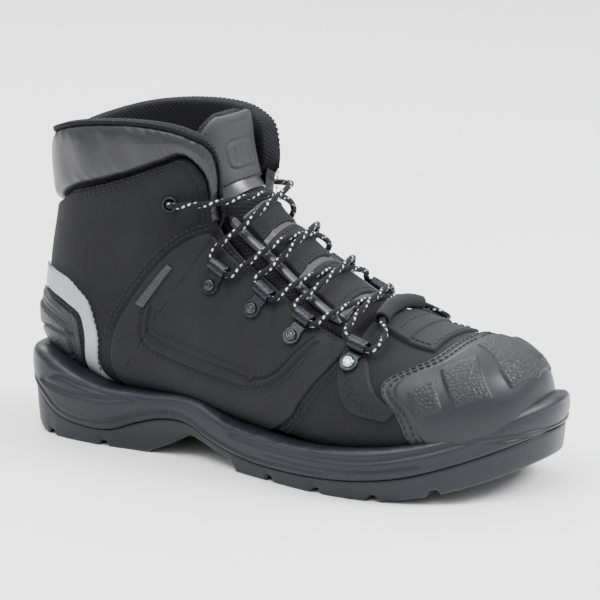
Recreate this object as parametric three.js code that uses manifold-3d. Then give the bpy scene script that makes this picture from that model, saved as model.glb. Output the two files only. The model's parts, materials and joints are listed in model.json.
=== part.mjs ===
// Lace-up safety boot with a steel toe cap, right foot.
// Millimetres, +X towards the toe, -Y the outer (lateral) side, +Z up.
// The origin lies on the ground, under the middle of the boot's box.
//
// The upper is laid out on one closed "last" surface. A place on it is (s, t): s runs from the
// toe tip (0) to the collar (1), and t runs round the foot, 0 on the front centre line and 1 or -1
// on the sole and back centre line, negative on the outer side. Every leather layer lies between
// two offsets from that surface.
import * as THREE from 'three';
import Module from 'manifold-3d';

const wasm = await Module();
wasm.setup();

// ---- Driving dimensions ------------------------------------------------------------------
const GAP = 0.3;                    // clearance between pieces that touch
const CENTRE_SHIFT = 2.35;          // moves the foot's axis so that the box is centred on the origin
const SOLE_LENGTH = 304;
const FOREFOOT_HALF = 60.5;         // outer half width of the tread at the ball of the foot
const HEEL_HALF = 43;               // outer half width of the tread at the heel
const LAYER = {                     // inner and outer offset of each layer from the last surface
  footbed: [-11, -6.6], lining: [-6.3, -4.5], stiff: [-4.1, -2.1], upper: [-1.8, 0],
  overlay: [0.3, 1.8], bumper: [0.3, 2.8], guard: [0.3, 3.3], collar: [-4.1, 2.6],
  strap: [0.3, 2.4], tag: [2.1, 3.1], gusset: [-4.2, -2.1],
};
const THROAT = 0.235;               // half width of the lacing opening, in t
const TREAD = { depth: 3, width: 5 };
const LACE_D = 3.2;
const LOOP = { plate: 1.6, ring: 5, neck: 4, tunnel: 11, outer: 7, bore: 5.3, seat: 2.1, axis: 5.6 };
const RIVET = { head: 6.4, shank: 3.4, hole: 4.2, height: 1.4 };
const EYELET = { flange: 4.4, barrel: 3.5, bore: 2.8 };
const TONGUE = { body: [-5, 0], panel: [0.6, 1.9], inset: 3, hinge: 143, gap: 0.8 };

// ---- The last: one section per row --------------------------------------------------------
// s, front point x and z, back point x and z, lateral and medial half width, height of the widest
// line (-1 back, 1 front), and the squareness of the front and of the back half.
const STATIONS = [
  [0.00, 144, 46, 144, 42, 1, 1, 0, 2, 2],
  [0.03, 142, 58, 142, 33, 17, 16, -0.10, 2.1, 2.2],
  [0.07, 137, 67, 137, 28, 31, 29, -0.15, 2.2, 2.6],
  [0.13, 125, 73, 125, 24, 43, 40, -0.25, 2.25, 2.9],
  [0.20, 106, 76, 106, 20, 50, 47, -0.30, 2.2, 3.1],
  [0.28, 83, 79, 82, 17, 54, 50, -0.33, 2.1, 3.2],
  [0.36, 57, 87, 56, 15, 55, 50, -0.38, 2.0, 3.2],
  [0.44, 32, 101, 28, 17, 52, 47, -0.40, 1.95, 3.1],
  [0.52, 12, 116, -10, 21, 47, 43, -0.40, 1.95, 2.9],
  [0.60, -4, 130, -55, 26, 44, 40, -0.38, 2.0, 2.7],
  [0.68, -10, 142, -108, 28, 42, 39, -0.30, 2.1, 2.5],
  [0.76, -12, 150, -147, 50, 41, 39, -0.20, 2.3, 2.3],
  [0.84, -13, 158, -147, 90, 40, 39, -0.10, 2.5, 2.25],
  [0.92, -14, 168, -141, 132, 40, 39, -0.05, 2.6, 2.2],
  [1.00, -15, 184, -143, 176, 41, 40, 0, 2.7, 2.2],
  [1.06, -16, 196, -145, 190, 41, 40, 0, 2.7, 2.2],
];
const COLUMNS = STATIONS[0].map((_, k) => STATIONS.map((row) => row[k]));

/** Smooth curve through (knots, values): a cubic Hermite with weighted mean slopes. */
function track(knots, values, at) {
  const last = knots.length - 1;
  const x = Math.min(Math.max(at, knots[0]), knots[last]);
  let i = 0;
  while (i < last - 1 && x >= knots[i + 1]) i += 1;
  const chord = (k) => (values[k + 1] - values[k]) / (knots[k + 1] - knots[k]);
  const slope = (k) => {
    if (k === 0) return chord(0);
    if (k === last) return chord(last - 1);
    const before = knots[k] - knots[k - 1];
    const after = knots[k + 1] - knots[k];
    return (chord(k - 1) * after + chord(k) * before) / (before + after);
  };
  const h = knots[i + 1] - knots[i];
  const u = (x - knots[i]) / h;
  const v = 1 - u;
  return values[i] * (1 + 2 * u) * v * v + h * slope(i) * u * v * v
    + values[i + 1] * u * u * (3 - 2 * u) - h * slope(i + 1) * u * u * v;
}

/** Point of the last at (s, t). */
function lastPoint(s, t) {
  const wrapped = t - 2 * Math.round(t / 2);
  const [frontX, frontZ, backX, backZ, lateral, medial, widest, nFront, nBack] =
    COLUMNS.slice(1).map((column) => track(COLUMNS[0], column, s));
  const c = Math.cos(Math.PI * wrapped);
  const n = c >= 0 ? nFront : nBack;
  const along = c >= 0
    ? widest + (1 - widest) * c ** (2 / n)
    : widest - (1 + widest) * (-c) ** (2 / n);
  const across = Math.abs(Math.sin(Math.PI * wrapped)) ** (2 / n);
  return new THREE.Vector3(
    (frontX + backX) / 2 + (frontX - backX) / 2 * along,
    (wrapped < 0 ? -lateral : medial) * across,
    (frontZ + backZ) / 2 + (frontZ - backZ) / 2 * along,
  );
}

/** Outward normal of the last at (s, t). */
function lastNormal(s, t) {
  const step = 2e-3;
  const s0 = Math.max(s - step, 0);
  const s1 = Math.min(s + step, 1.06);
  const alongS = lastPoint(s1, t).sub(lastPoint(s0, t));
  const alongT = lastPoint(s, t + step).sub(lastPoint(s, t - step));
  return alongT.cross(alongS).normalize();
}

/** Point at height h above the last. */
const skin = (s, t, h) => lastPoint(s, t).addScaledVector(lastNormal(s, t), h);

/** The tongue leans back into the shaft above the ankle: its set-back from the last, by s. */
const SET_BACK = [[0.5, 0.55, 0.62, 0.68, 0.76, 0.84, 0.92, 1.0], [0, 0, 2, 5, 11, 15.5, 18, 19]];
const tongueSetBack = (s) => track(...SET_BACK, s);

/** Point at height h above the face of the tongue. */
function tongueSkin(s, t, h) {
  const toBack = lastPoint(s, 1).sub(lastPoint(s, 0)).normalize();
  return skin(s, t, h - TONGUE.inset).addScaledVector(toBack, tongueSetBack(s));
}

// ---- Solids from rows of points -------------------------------------------------------------
/** A manifold solid from vertices and triangles, turned so that its faces point out. */
function solid(points, faces) {
  let volume = 0;
  for (const [a, b, c] of faces) {
    volume += points[a].dot(points[b].clone().cross(points[c]));
  }
  const outward = volume > 0 ? faces : faces.map(([a, b, c]) => [a, c, b]);
  return new wasm.Manifold(new wasm.Mesh({
    numProp: 3,
    vertProperties: Float32Array.from(points.flatMap((p) => p.toArray())),
    triVerts: Uint32Array.from(outward.flat()),
  }));
}

/** A solid from any closed three.js geometry, with its repeated vertices merged. */
function fromGeometry(geometry, matrix = new THREE.Matrix4()) {
  const source = geometry.index ? geometry.toNonIndexed() : geometry;
  const position = source.attributes.position;
  const seen = new Map();
  const points = [];
  const corner = [];
  for (let i = 0; i < position.count; i += 1) {
    const p = new THREE.Vector3().fromBufferAttribute(position, i);
    const key = p.toArray().map((x) => Math.round(x * 1e4)).join();
    if (!seen.has(key)) {
      seen.set(key, points.length);
      points.push(p.applyMatrix4(matrix));
    }
    corner.push(seen.get(key));
  }
  const faces = [];
  for (let i = 0; i < corner.length; i += 3) {
    const [a, b, c] = corner.slice(i, i + 3);
    if (a !== b && b !== c && c !== a) faces.push([a, b, c]);
  }
  return solid(points, faces);
}

/** Triangles joining closed rings of equal length, one after another. */
function ringWalls(count, sides) {
  const faces = [];
  for (let i = 0; i + 1 < count; i += 1) {
    for (let j = 0; j < sides; j += 1) {
      const a = i * sides + j;
      const b = i * sides + ((j + 1) % sides);
      faces.push([a, b, a + sides], [b, b + sides, a + sides]);
    }
  }
  return faces;
}

/** A closed body through rings, each end closed by a fan about the ring's middle. */
function ringBody(rings) {
  const sides = rings[0].length;
  const points = rings.flat();
  const faces = ringWalls(rings.length, sides);
  for (const [ring, first, turn] of [[rings[0], 0, 1], [rings.at(-1), points.length - sides, 0]]) {
    const middle = ring.reduce((sum, p) => sum.add(p), new THREE.Vector3()).divideScalar(sides);
    const hub = points.push(middle) - 1;
    for (let j = 0; j < sides; j += 1) {
      const a = first + j;
      const b = first + ((j + 1) % sides);
      faces.push(turn ? [a, hub, b] : [a, b, hub]);
    }
  }
  return solid(points, faces);
}

/** A closed slab between two surfaces given over the unit square. */
function slab(outer, inner, columns, rows) {
  const points = [];
  const top = [];
  const bottom = [];
  for (let i = 0; i <= columns; i += 1) {
    top.push([]);
    bottom.push([]);
    for (let j = 0; j <= rows; j += 1) {
      top[i].push(points.push(outer(i / columns, j / rows)) - 1);
      bottom[i].push(points.push(inner(i / columns, j / rows)) - 1);
    }
  }
  const faces = [];
  const quad = (a, b, c, d) => faces.push([a, b, c], [a, c, d]);
  for (let i = 0; i < columns; i += 1) {
    for (let j = 0; j < rows; j += 1) {
      quad(top[i][j], top[i + 1][j], top[i + 1][j + 1], top[i][j + 1]);
      quad(bottom[i][j], bottom[i][j + 1], bottom[i + 1][j + 1], bottom[i + 1][j]);
    }
    quad(top[i][0], bottom[i][0], bottom[i + 1][0], top[i + 1][0]);
    quad(top[i][rows], top[i + 1][rows], bottom[i + 1][rows], bottom[i][rows]);
  }
  for (let j = 0; j < rows; j += 1) {
    quad(top[0][j], top[0][j + 1], bottom[0][j + 1], bottom[0][j]);
    quad(top[columns][j], bottom[columns][j], bottom[columns][j + 1], top[columns][j + 1]);
  }
  return solid(points, faces);
}

/** A box solid between two corners. */
function box(low, high) {
  const size = high.map((value, k) => value - low[k]);
  const middle = high.map((value, k) => (value + low[k]) / 2);
  return fromGeometry(new THREE.BoxGeometry(...size), new THREE.Matrix4().makeTranslation(...middle));
}

// ---- Layers and windows on the last ---------------------------------------------------------
const RING_S = [0, 0.03, 0.07, 0.13, 0.20, 0.28, 0.36, 0.44, 0.52, 0.6, 0.67, 0.72, 0.77, 0.86, 0.96, 1.06];
const RING_SIDES = 18;
const ringT = Array.from({ length: RING_SIDES }, (_, j) => 2 * j / RING_SIDES - 1);

/** The whole last grown by an offset; the end at the collar is raised by lift. */
function lastBody(offset, lift = 0) {
  const rings = RING_S.map((s) => ringT.map((t) => skin(s, t, offset)));
  rings.at(-1).forEach((p) => { p.z += lift; });
  return ringBody(rings);
}

const shellOf = ([inner, outer]) => lastBody(outer).subtract(lastBody(inner, 2));

/** The toe end of the last, up to the line s = edge(t), as a cutting body. */
function toeEnd(edge) {
  const steps = 7;
  const rings = Array.from({ length: steps + 1 },
    (_, i) => ringT.map((t) => skin(edge(Math.abs(t)) * i / steps, t, 6)));
  return ringBody(rings);
}

/** Catmull-Rom rail through (s, t) points, at u from 0 to 1. */
function rail(points) {
  const curve = new THREE.CatmullRomCurve3(points.map(([s, t]) => new THREE.Vector3(s, t, 0)),
    false, 'centripetal');
  return (u) => curve.getPoint(u);
}

/** A cutting body over the patch between two rails, reaching through one layer. */
function windowBody(railA, railB, layer, columns = 10, rows = 4) {
  const a = rail(railA);
  const b = rail(railB);
  const margin = 3.5;
  const at = (h) => (u, v) => {
    const p = a(u).lerp(b(u), v);
    return skin(p.x, p.y, h);
  };
  return slab(at(layer[1] + margin), at(layer[0] - margin), columns, rows);
}

const mirrored = (points, side) => points.map(([s, t, ...rest]) => [s, t * side, ...rest]);
const LATERAL = 1;
const MEDIAL = -1;
const SIDES = [['lateral', LATERAL], ['medial', MEDIAL]];
const HALF_SPACE = {
  [LATERAL]: box([-200, -100, -10], [200, -GAP / 2, 260]),
  [MEDIAL]: box([-200, GAP / 2, -10], [200, 100, 260]),
};

/** The lacing opening through one layer. */
const throat = (layer, half, start) => windowBody(
  [[start, -half], [0.7, -half], [1.06, -half]], [[start, half], [0.7, half], [1.06, half]], layer, 8, 6);

// Seam lines, as (s, t) on the lateral side.
const SEAM = {
  vampEdge: (t) => 0.425 + 0.09 * Math.min(t, 0.8),
  scuffEdge: (t) => track([0, 0.2, 0.35, 0.45, 0.56, 0.75, 1],
    [0.198, 0.218, 0.284, 0.247, 0.221, 0.2, 0.2], t),
  collarLow: [[0.9, -1], [0.918, -0.68], [0.92, -0.51], [0.928, -0.41], [0.93, -0.35],
    [0.882, -0.288], [0.79, -0.25], [0.71, -0.252]],
  collarTop: [[0.966, -1], [0.978, -0.8], [0.99, -0.6], [0.99, -0.47], [0.97, -0.34],
    [0.93, -0.25], [0.81, -0.218], [0.70, -0.222]],
  quarterTop: [[0.884, -1], [0.89, -0.86], [0.907, -0.68], [0.912, -0.51], [0.919, -0.412], [0.92, -0.356],
    [0.874, -0.297], [0.785, -0.26], [0.698, -0.26], [0.688, -0.2]],
  panelFront: [[0.356, -0.24], [0.375, -0.33], [0.402, -0.42], [0.43, -0.52], [0.455, -0.62], [0.48, -0.76]],
  panelRear: [[0.695, -0.258], [0.716, -0.30], [0.724, -0.36], [0.712, -0.45], [0.69, -0.56], [0.65, -0.78]],
  stripeOuter: [[0.66, -0.84], [0.682, -0.727], [0.714, -0.575], [0.747, -0.55], [0.787, -0.6],
    [0.82, -0.72], [0.836, -0.85], [0.84, -1]],
  stripeInner: [[0.672, -0.9], [0.694, -0.79], [0.722, -0.62], [0.742, -0.595], [0.768, -0.63],
    [0.798, -0.73], [0.815, -0.85], [0.82, -1]],
  guardTop: [[0.69, -0.84], [0.722, -0.65], [0.741, -0.618], [0.764, -0.648], [0.793, -0.742],
    [0.81, -0.86], [0.815, -1]],
};

/** A rail over both sides: the lateral points, then their mirror past the back centre line. */
const roundTheHeel = (points) => [...points, ...points.slice(0, -1).reverse().map(([s, t]) => [s, -2 - t])];

// ---- Sole unit ------------------------------------------------------------------------------
const halfForefoot = FOREFOOT_HALF / 58;
const halfHeel = HEEL_HALF / 42;
const HEEL_X = -SOLE_LENGTH / 2;
const TOE_X = SOLE_LENGTH / 2;
// Plan outline of the tread: heel centre, then each side in turn, then the toe.
const OUTLINE_LATERAL = [[-148, -22 * halfHeel], [-132, -37 * halfHeel], [-102, -42 * halfHeel],
  [-67, -41 * halfHeel], [-32, -41 * halfForefoot], [8, -50 * halfForefoot], [48, -58 * halfForefoot],
  [83, -57 * halfForefoot], [116, -46 * halfForefoot], [140, -26 * halfForefoot]];
const OUTLINE_MEDIAL = [[-148, 20], [-132, 34], [-102, 38], [-62, 34], [-22, 33], [18, 44], [53, 54],
  [88, 56], [123, 50], [144, 34]];
const outline = new THREE.CatmullRomCurve3([[HEEL_X, 0], ...OUTLINE_LATERAL, [TOE_X, 4],
  ...OUTLINE_MEDIAL.toReversed()].map(([x, y]) => new THREE.Vector3(x, y, 0)), true, 'catmullrom', 0.5);
const SOLE_STEPS = 20;

// Heights of the sole, as functions of x.
const toeSpring = (x) => (x > 70 ? 19 * ((x - 70) / 82) ** 2 : 0);
const heelBevel = (x) => (x < -125 ? 5 * ((-125 - x) / 27) ** 2 : 0);
const groundZ = (x) => toeSpring(x) + heelBevel(x);
const PARTING = [[-156, 26], [-143, 25], [-122, 13], [-102, 9.5], [-88, 10], [-71, 16], [-57, 20],
  [-41, 20.5], [-22, 13.6], [7, 8.4], [33, 8.2], [56, 9], [78, 10.8], [97, 14], [123, 22], [144, 30],
  [156, 35]];
const FLOOR = [[-156, 14], [-125, 8], [-75, 8], [-60, 14], [-41, 17], [-22, 12], [0, 7], [70, 7],
  [85, 8], [105, 11], [125, 16], [140, 21], [156, 26]];
const RIM = [[-156, 45], [-137, 47], [-112, 38], [-96, 33.5], [-65, 33], [-32, 33], [-16, 27.5],
  [19, 23.6], [37, 23.4], [61, 25], [82, 27.5], [101, 31], [120, 36], [134, 41.5], [145, 47], [156, 52]];
const profile = (rows) => (x) => track(rows.map((row) => row[0]), rows.map((row) => row[1]), x);
const partingZ = profile(PARTING);
const floorZ = profile(FLOOR);
const rimZ = profile(RIM);
const between = (low, high, part) => (x) => low(x) + (high(x) - low(x)) * part;
const raised = (height, by) => (x) => height(x) + by;

/** One ring of the sole: the outline grown outwards, at a height given by x. */
function soleRing(grow, height) {
  const count = OUTLINE_LATERAL.length + 1;
  const total = 2 * count;
  return Array.from({ length: 2 * SOLE_STEPS }, (_, i) => {
    const u = i / SOLE_STEPS * count / total;
    const p = outline.getPoint(u);
    const d = outline.getTangent(u);
    const out = new THREE.Vector3(d.y, -d.x, 0).normalize();
    if (out.dot(p) < 0) out.negate();
    const q = p.clone().addScaledVector(out, grow);
    return new THREE.Vector3(q.x, q.y, height(p.x));
  });
}

/** A closed body through sole rings, capped by strips across the foot. */
function soleBody(levels) {
  const rings = levels.map(([grow, height]) => soleRing(grow, height));
  const sides = 2 * SOLE_STEPS;
  const faces = ringWalls(rings.length, sides);
  const cap = (first, flip) => {
    for (let i = 0; i < SOLE_STEPS; i += 1) {
      const a = first + i;
      const b = first + i + 1;
      const c = first + (sides - i - 1) % sides;
      const d = first + (sides - i) % sides;
      const strip = [];
      if (b !== c) strip.push([a, b, c]);
      if (a !== d) strip.push([a, c, d]);
      faces.push(...(flip ? strip.map(([p, q, r]) => [p, r, q]) : strip));
    }
  };
  cap(0, true);
  cap((rings.length - 1) * sides, false);
  return solid(rings.flat(), faces);
}

/** The waist cut under the arch, between the heel block and the forefoot, right across the sole. */
function archCut() {
  const shape = new THREE.Shape([[-66, -1], [-65, 0.2], [-49, 7.6], [-39, 13.4], [-18, 7.4], [-9, 5.8],
    [-5, 0.2], [-5, -1]].map(([x, z]) => new THREE.Vector2(x, z)));
  const prism = new THREE.ExtrudeGeometry(shape, { depth: 160, bevelEnabled: false });
  return fromGeometry(prism, new THREE.Matrix4().makeTranslation(0, 80, 0)
    .multiply(new THREE.Matrix4().makeRotationX(Math.PI / 2)));
}

const TREAD_X = [-128, -92, 20, 52, 84, 113];
const treadChannel = (x) => box([x - TREAD.width / 2, -90, -5],
  [x + TREAD.width / 2, 90, groundZ(x) + TREAD.depth]);
const CENTRE_CHANNELS = [[-118, -74], [4, 100]];

function outsole() {
  let body = soleBody([
    [-0.5, groundZ], [0.9, between(groundZ, partingZ, 0.5)], [1.5, partingZ], [-3, partingZ], [-5, floorZ]]);
  body = body.subtract(archCut());
  TREAD_X.forEach((x) => { body = body.subtract(treadChannel(x)); });
  CENTRE_CHANNELS.forEach(([from, to]) => {
    body = body.subtract(box([from, -TREAD.width / 2, -5], [to, TREAD.width / 2, TREAD.depth]));
  });
  return body;
}

/** The midsole's outer block, without its cavity. */
const midsoleBlock = () => soleBody([
  [-7.5, raised(floorZ, 1.6)], [-5.5, raised(partingZ, 1.6)], [1.7, raised(partingZ, GAP)],
  [3.0, between(partingZ, rimZ, 0.35)], [3.2, between(partingZ, rimZ, 0.7)],
  [2.0, raised(rimZ, -1)], [-0.5, rimZ]]);

/** Everything below the top of the rim, for trimming the overlays that stand on it. */
const belowRim = () => soleBody([
  [5, groundZ], [5, raised(rimZ, -2)], [2.4, raised(rimZ, GAP - 1)], [-0.2, raised(rimZ, GAP)]]);

// ---- Hardware ------------------------------------------------------------------------------
const ROWS = [                      // lace loops from the toe up: rivet and tunnel places
  { rivet: [0.346, -0.297], tunnel: [0.340, -0.238] },
  { rivet: [0.453, -0.315], tunnel: [0.442, -0.254] },
  { rivet: [0.533, -0.321], tunnel: [0.524, -0.266] },
  { rivet: [0.614, -0.336], tunnel: [0.615, -0.291] },
];
const EYELET_AT = [0.831, -0.370];

/** Frame of a loop: +X towards the tunnel, +Z off the leather, origin at the seat under the rivet. */
function loopFrame(row, side) {
  const [[rs, rt], [ts, tt]] = [mirrored([row.rivet], side)[0], mirrored([row.tunnel], side)[0]];
  const normal = lastNormal((rs + ts) / 2, (rt + tt) / 2);
  const seat = skin(rs, rt, LOOP.seat);
  const axis = skin(ts, tt, LOOP.axis);
  const rise = axis.clone().sub(seat).dot(normal);
  const reach = axis.clone().sub(seat).addScaledVector(normal, -rise);
  const x = reach.clone().normalize();
  const y = normal.clone().cross(x);
  return { matrix: new THREE.Matrix4().makeBasis(x, y, normal).setPosition(seat), reach: reach.length(), rise };
}

/** A cylinder along local Z, between two heights. */
function cylinder(radius, low, high, matrix, sides = 8) {
  const turn = new THREE.Matrix4().makeTranslation(0, 0, (low + high) / 2)
    .multiply(new THREE.Matrix4().makeRotationX(Math.PI / 2));
  return fromGeometry(new THREE.CylinderGeometry(radius, radius, high - low, sides),
    matrix.clone().multiply(turn));
}

/** A stamped lace loop: ring at the rivet, neck, and a tunnel across its end. */
function laceLoop({ matrix, reach, rise }) {
  const end = reach - 2.1;
  const shape = new THREE.Shape();
  shape.absarc(0, 0, LOOP.ring, 0.8, 2 * Math.PI - 0.8, false);
  shape.lineTo(end, -LOOP.neck);
  shape.lineTo(end, LOOP.neck);
  shape.closePath();
  shape.holes.push(new THREE.Path().absarc(0, 0, RIVET.hole / 2, 0, 2 * Math.PI, true));
  const plate = new THREE.ExtrudeGeometry(shape, { depth: LOOP.plate, bevelEnabled: false, curveSegments: 8 });
  const half = LOOP.tunnel / 2;
  const wall = [[LOOP.outer / 2, -half], [LOOP.outer / 2, half], [LOOP.bore / 2, half], [LOOP.bore / 2, -half]]
    .map(([r, y]) => new THREE.Vector2(r, y));
  const tunnel = new THREE.LatheGeometry([...wall, wall[0]], 8);
  return fromGeometry(plate, matrix)
    .add(fromGeometry(tunnel, matrix.clone().multiply(new THREE.Matrix4().makeTranslation(reach, 0, rise))));
}

function loopRivet({ matrix }) {
  const top = LOOP.plate + GAP;
  return cylinder(RIVET.shank / 2, 0, top + 0.2, matrix)
    .add(cylinder(RIVET.head / 2, top, top + RIVET.height, matrix));
}

/** Frame standing on the leather at the top eyelet. */
function eyeletMatrix(side) {
  const [[s, t]] = mirrored([EYELET_AT], side);
  const z = lastNormal(s, t);
  const x = new THREE.Vector3(0, 0, 1).cross(z).normalize();
  return new THREE.Matrix4().makeBasis(x, z.clone().cross(x), z).setPosition(lastPoint(s, t));
}

function eyelet(side) {
  const { flange, barrel, bore } = EYELET;
  const section = [[bore, -6.6], [barrel, -6.6], [barrel, GAP], [flange, GAP], [flange, 1.0],
    [flange - 0.7, 1.5], [bore + 0.3, 1.5], [bore, 1.1]];
  const points = section.map(([r, z]) => new THREE.Vector2(r, z));
  const lathe = new THREE.LatheGeometry([...points, points[0]], 10);
  return fromGeometry(lathe, eyeletMatrix(side).multiply(new THREE.Matrix4().makeRotationX(Math.PI / 2)));
}

const eyeletHole = (side) => cylinder(EYELET.barrel + 2 * GAP, -12, 4, eyeletMatrix(side), 10);

// ---- Lace -----------------------------------------------------------------------------------
// Route of the lateral half, as (s, t, h): from the tip inside the shaft, out of the top eyelet,
// criss-cross down through the loops, to the keeper on the front centre line.
const LACE_INSIDE = [[0.67, -0.43, -10], [0.74, -0.41, -9.7], [0.80, -0.385, -10], [0.826, -0.372, -9.2],
  [0.831, -0.370, -7], [0.831, -0.370, 1.8], [0.826, -0.355, 4.6]];
const LACE_STRANDS = [
  [[0.803, -0.295, 5.4], [0.771, -0.225, 6.2], [0.725, -0.145, 4.2], [0.688, -0.075, 0.6],
    [0.66, 0, -1.8], [0.647, 0.09, 0.6], [0.641, 0.18, 4.0], [0.648, 0.252, 5.7]],
  [[0.58, 0.26, 5.6], [0.564, 0.18, 4.2], [0.55, 0.09, 2.2], [0.536, 0, 1.5], [0.53, -0.09, 2.2],
    [0.534, -0.19, 4.4], [0.546, -0.252, 5.6]],
  [[0.495, -0.245, 5.6], [0.478, -0.17, 4.2], [0.462, -0.09, 2.2], [0.448, 0, 1.5], [0.445, 0.09, 2.2],
    [0.453, 0.18, 4.4], [0.465, 0.242, 5.6]],
  [[0.415, 0.233, 5.6], [0.4, 0.165, 4.2], [0.387, 0.085, 2.2], [0.375, 0, 1.7], [0.372, -0.085, 2.2],
    [0.372, -0.16, 4.2], [0.370, -0.218, 5.5]],
];
const LACE_TO_KEEPER = [[0.309, -0.220, 5.6], [0.311, -0.172, 5.3], [0.334, -0.11, 5.4], [0.343, -0.03, 5.4]];
const LACE_TUNNEL_HALF = 7.2;         // the lace runs straight inside each loop's tunnel
const CROSSING_LIFT = 4.6;

/** Two points where the lace enters and leaves the tunnel of a loop, upper end first. */
function tunnelEnds(row, side) {
  const { matrix, reach, rise } = loopFrame(row, side);
  const ends = [-1, 1].map((k) => new THREE.Vector3(reach, k * LACE_TUNNEL_HALF, rise).applyMatrix4(matrix));
  return ends.sort((a, b) => b.z - a.z);
}

/** Points of half a lace; over lists, strand by strand, whether it passes over at the crossing. */
function laceHalf(side, over) {
  const place = (lift) => ([s, t, h]) =>
    skin(s, t * side, h + (lift ? CROSSING_LIFT * Math.max(0, 1 - (t / 0.17) ** 2) : 0));
  const points = LACE_INSIDE.map(place(false));
  LACE_STRANDS.forEach((strand, i) => {
    points.push(...strand.map(place(over[i])));
    const loopSide = i % 2 === 0 ? -side : side;
    points.push(...tunnelEnds(ROWS[3 - i], loopSide));
  });
  points.push(...LACE_TO_KEEPER.map(place(false)));
  return points;
}

/** A curve whose steps fall on its own points. */
class KnotCurve extends THREE.CatmullRomCurve3 {
  getUtoTmapping(u) {
    return u;
  }
}

const circle = (radius, sides) => new THREE.Shape(Array.from({ length: sides }, (_, k) => {
  const angle = 2 * Math.PI * (k + 0.5) / sides;
  return new THREE.Vector2(radius * Math.cos(angle), radius * Math.sin(angle));
}));

function tube(points, radius, sides) {
  const curve = new KnotCurve(points, false, 'centripetal');
  return fromGeometry(new THREE.ExtrudeGeometry(circle(radius, sides),
    { steps: points.length - 1, extrudePath: curve, bevelEnabled: false }));
}

const lacePoints = [...laceHalf(LATERAL, [false, true, false, true]),
  ...laceHalf(MEDIAL, [true, false, true, false]).reverse()];

/** A lace tip: a short rigid sleeve just past the end of the lace. */
function aglet(end, next) {
  const direction = end.clone().sub(next).normalize();
  const points = [1, 11, 21].map((distance) => end.clone().addScaledVector(direction, distance));
  return tube(points, 1.9, 8);
}

/** The keeper: a strap on the vamp, folded at its top edge into a tunnel for the lace. */
function laceKeeper() {
  const edge = [[0.222, -0.15], [0.27, -0.14], [0.332, -0.118]];
  const strap = shellOf(LAYER.strap).intersect(windowBody(edge, mirrored(edge, MEDIAL), LAYER.strap, 6, 8));
  const spine = Array.from({ length: 9 }, (_, i) => {
    const t = -0.112 + 0.224 * i / 8;
    return skin(0.343 - 0.6 * t * t, t, 5.4);
  });
  const ends = [-0.16, ...Array.from({ length: 9 }, (_, i) => -0.112 + 0.224 * i / 8), 0.16]
    .map((t) => skin(0.343 - 0.6 * t * t, t, 5.4));
  return strap.add(tube(spine, 3.9, 8)).subtract(tube(ends, 2.9, 8));
}

// ---- Tongue ---------------------------------------------------------------------------------
/** A slab of the tongue between two s values; half(s) is its half width in t. */
const tonguePart = (from, to, half, [inner, outer], columns, rows) => {
  const at = (h) => (u, v) => {
    const s = from + (to - from) * u;
    return tongueSkin(s, (2 * v - 1) * half(s), h);
  };
  return slab(at(outer), at(inner), columns, rows);
};
const TONGUE_HALF = [[0.34, 0.42, 0.6, 0.7, 0.78, 0.84, 0.9, 0.96, 1.0],
  [0.2, 0.236, 0.236, 0.21, 0.192, 0.208, 0.225, 0.215, 0.12]];
const tongueHalf = (s) => track(...TONGUE_HALF, s);
const panelHalf = (s) => Math.min(0.2, tongueHalf(s) - 0.012);
const ABOVE_HINGE = box([-200, -100, TONGUE.hinge + TONGUE.gap], [200, 100, 260]);
const BELOW_HINGE = box([-200, -100, -10], [200, 100, TONGUE.hinge - TONGUE.gap]);

// ---- Materials ------------------------------------------------------------------------------
const finish = (color, roughness, metalness = 0) =>
  new THREE.MeshStandardMaterial({ color, roughness, metalness });
const MATERIAL = {
  rubber: finish(0x3c3f45, 0.7), midsole: finish(0x44474d, 0.6), nubuck: finish(0x26272a, 0.9),
  overlay: finish(0x2a2b2e, 0.85), smooth: finish(0x4b4d50, 0.5), bumper: finish(0x313338, 0.6),
  guard: finish(0x2c2e32, 0.55), reflective: finish(0xc6c8ca, 0.35), lining: finish(0x1c1d1f, 0.95),
  steel: finish(0x9a9ca0, 0.35, 1), board: finish(0xb9a98a, 0.9), kevlar: finish(0xd8c45a, 0.8),
  foam: finish(0x3a3b3e, 0.9), hardware: finish(0x35373b, 0.35, 0.8), rivet: finish(0x5a5d62, 0.3, 1),
  lace: finish(0x17181a, 0.85), aglet: finish(0x202124, 0.4), tag: finish(0x3a3b3f, 0.7),
};

// ---- Assembly -------------------------------------------------------------------------------
const boot = new THREE.Group();

function addPiece(name, body, material) {
  const { vertProperties, triVerts, numProp } = body.getMesh();
  const geometry = new THREE.BufferGeometry();
  if (numProp !== 3) throw new Error(`${name} has unexpected vertex data`);
  geometry.setAttribute('position', new THREE.BufferAttribute(new Float32Array(vertProperties), 3));
  geometry.setIndex(new THREE.BufferAttribute(new Uint32Array(triVerts), 1));
  const mesh = new THREE.Mesh(geometry, material);
  mesh.name = name;
  boot.add(mesh);
}

function addSole() {
  addPiece('outsole', outsole(), MATERIAL.rubber);
  addPiece('midsole', midsoleBlock().subtract(lastBody(LAYER.upper[1] + 0.35)), MATERIAL.midsole);
}

const UNDERFOOT = [[0.05, 0.68], 0.8];

/** The flat under the foot, within one layer. */
function underfoot(layer, [from, to], edge) {
  const line = (t) => [[from, t], [0.3, t], [to, t]];
  return windowBody(line(edge), line(2 - edge), layer, 8, 6);
}

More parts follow.
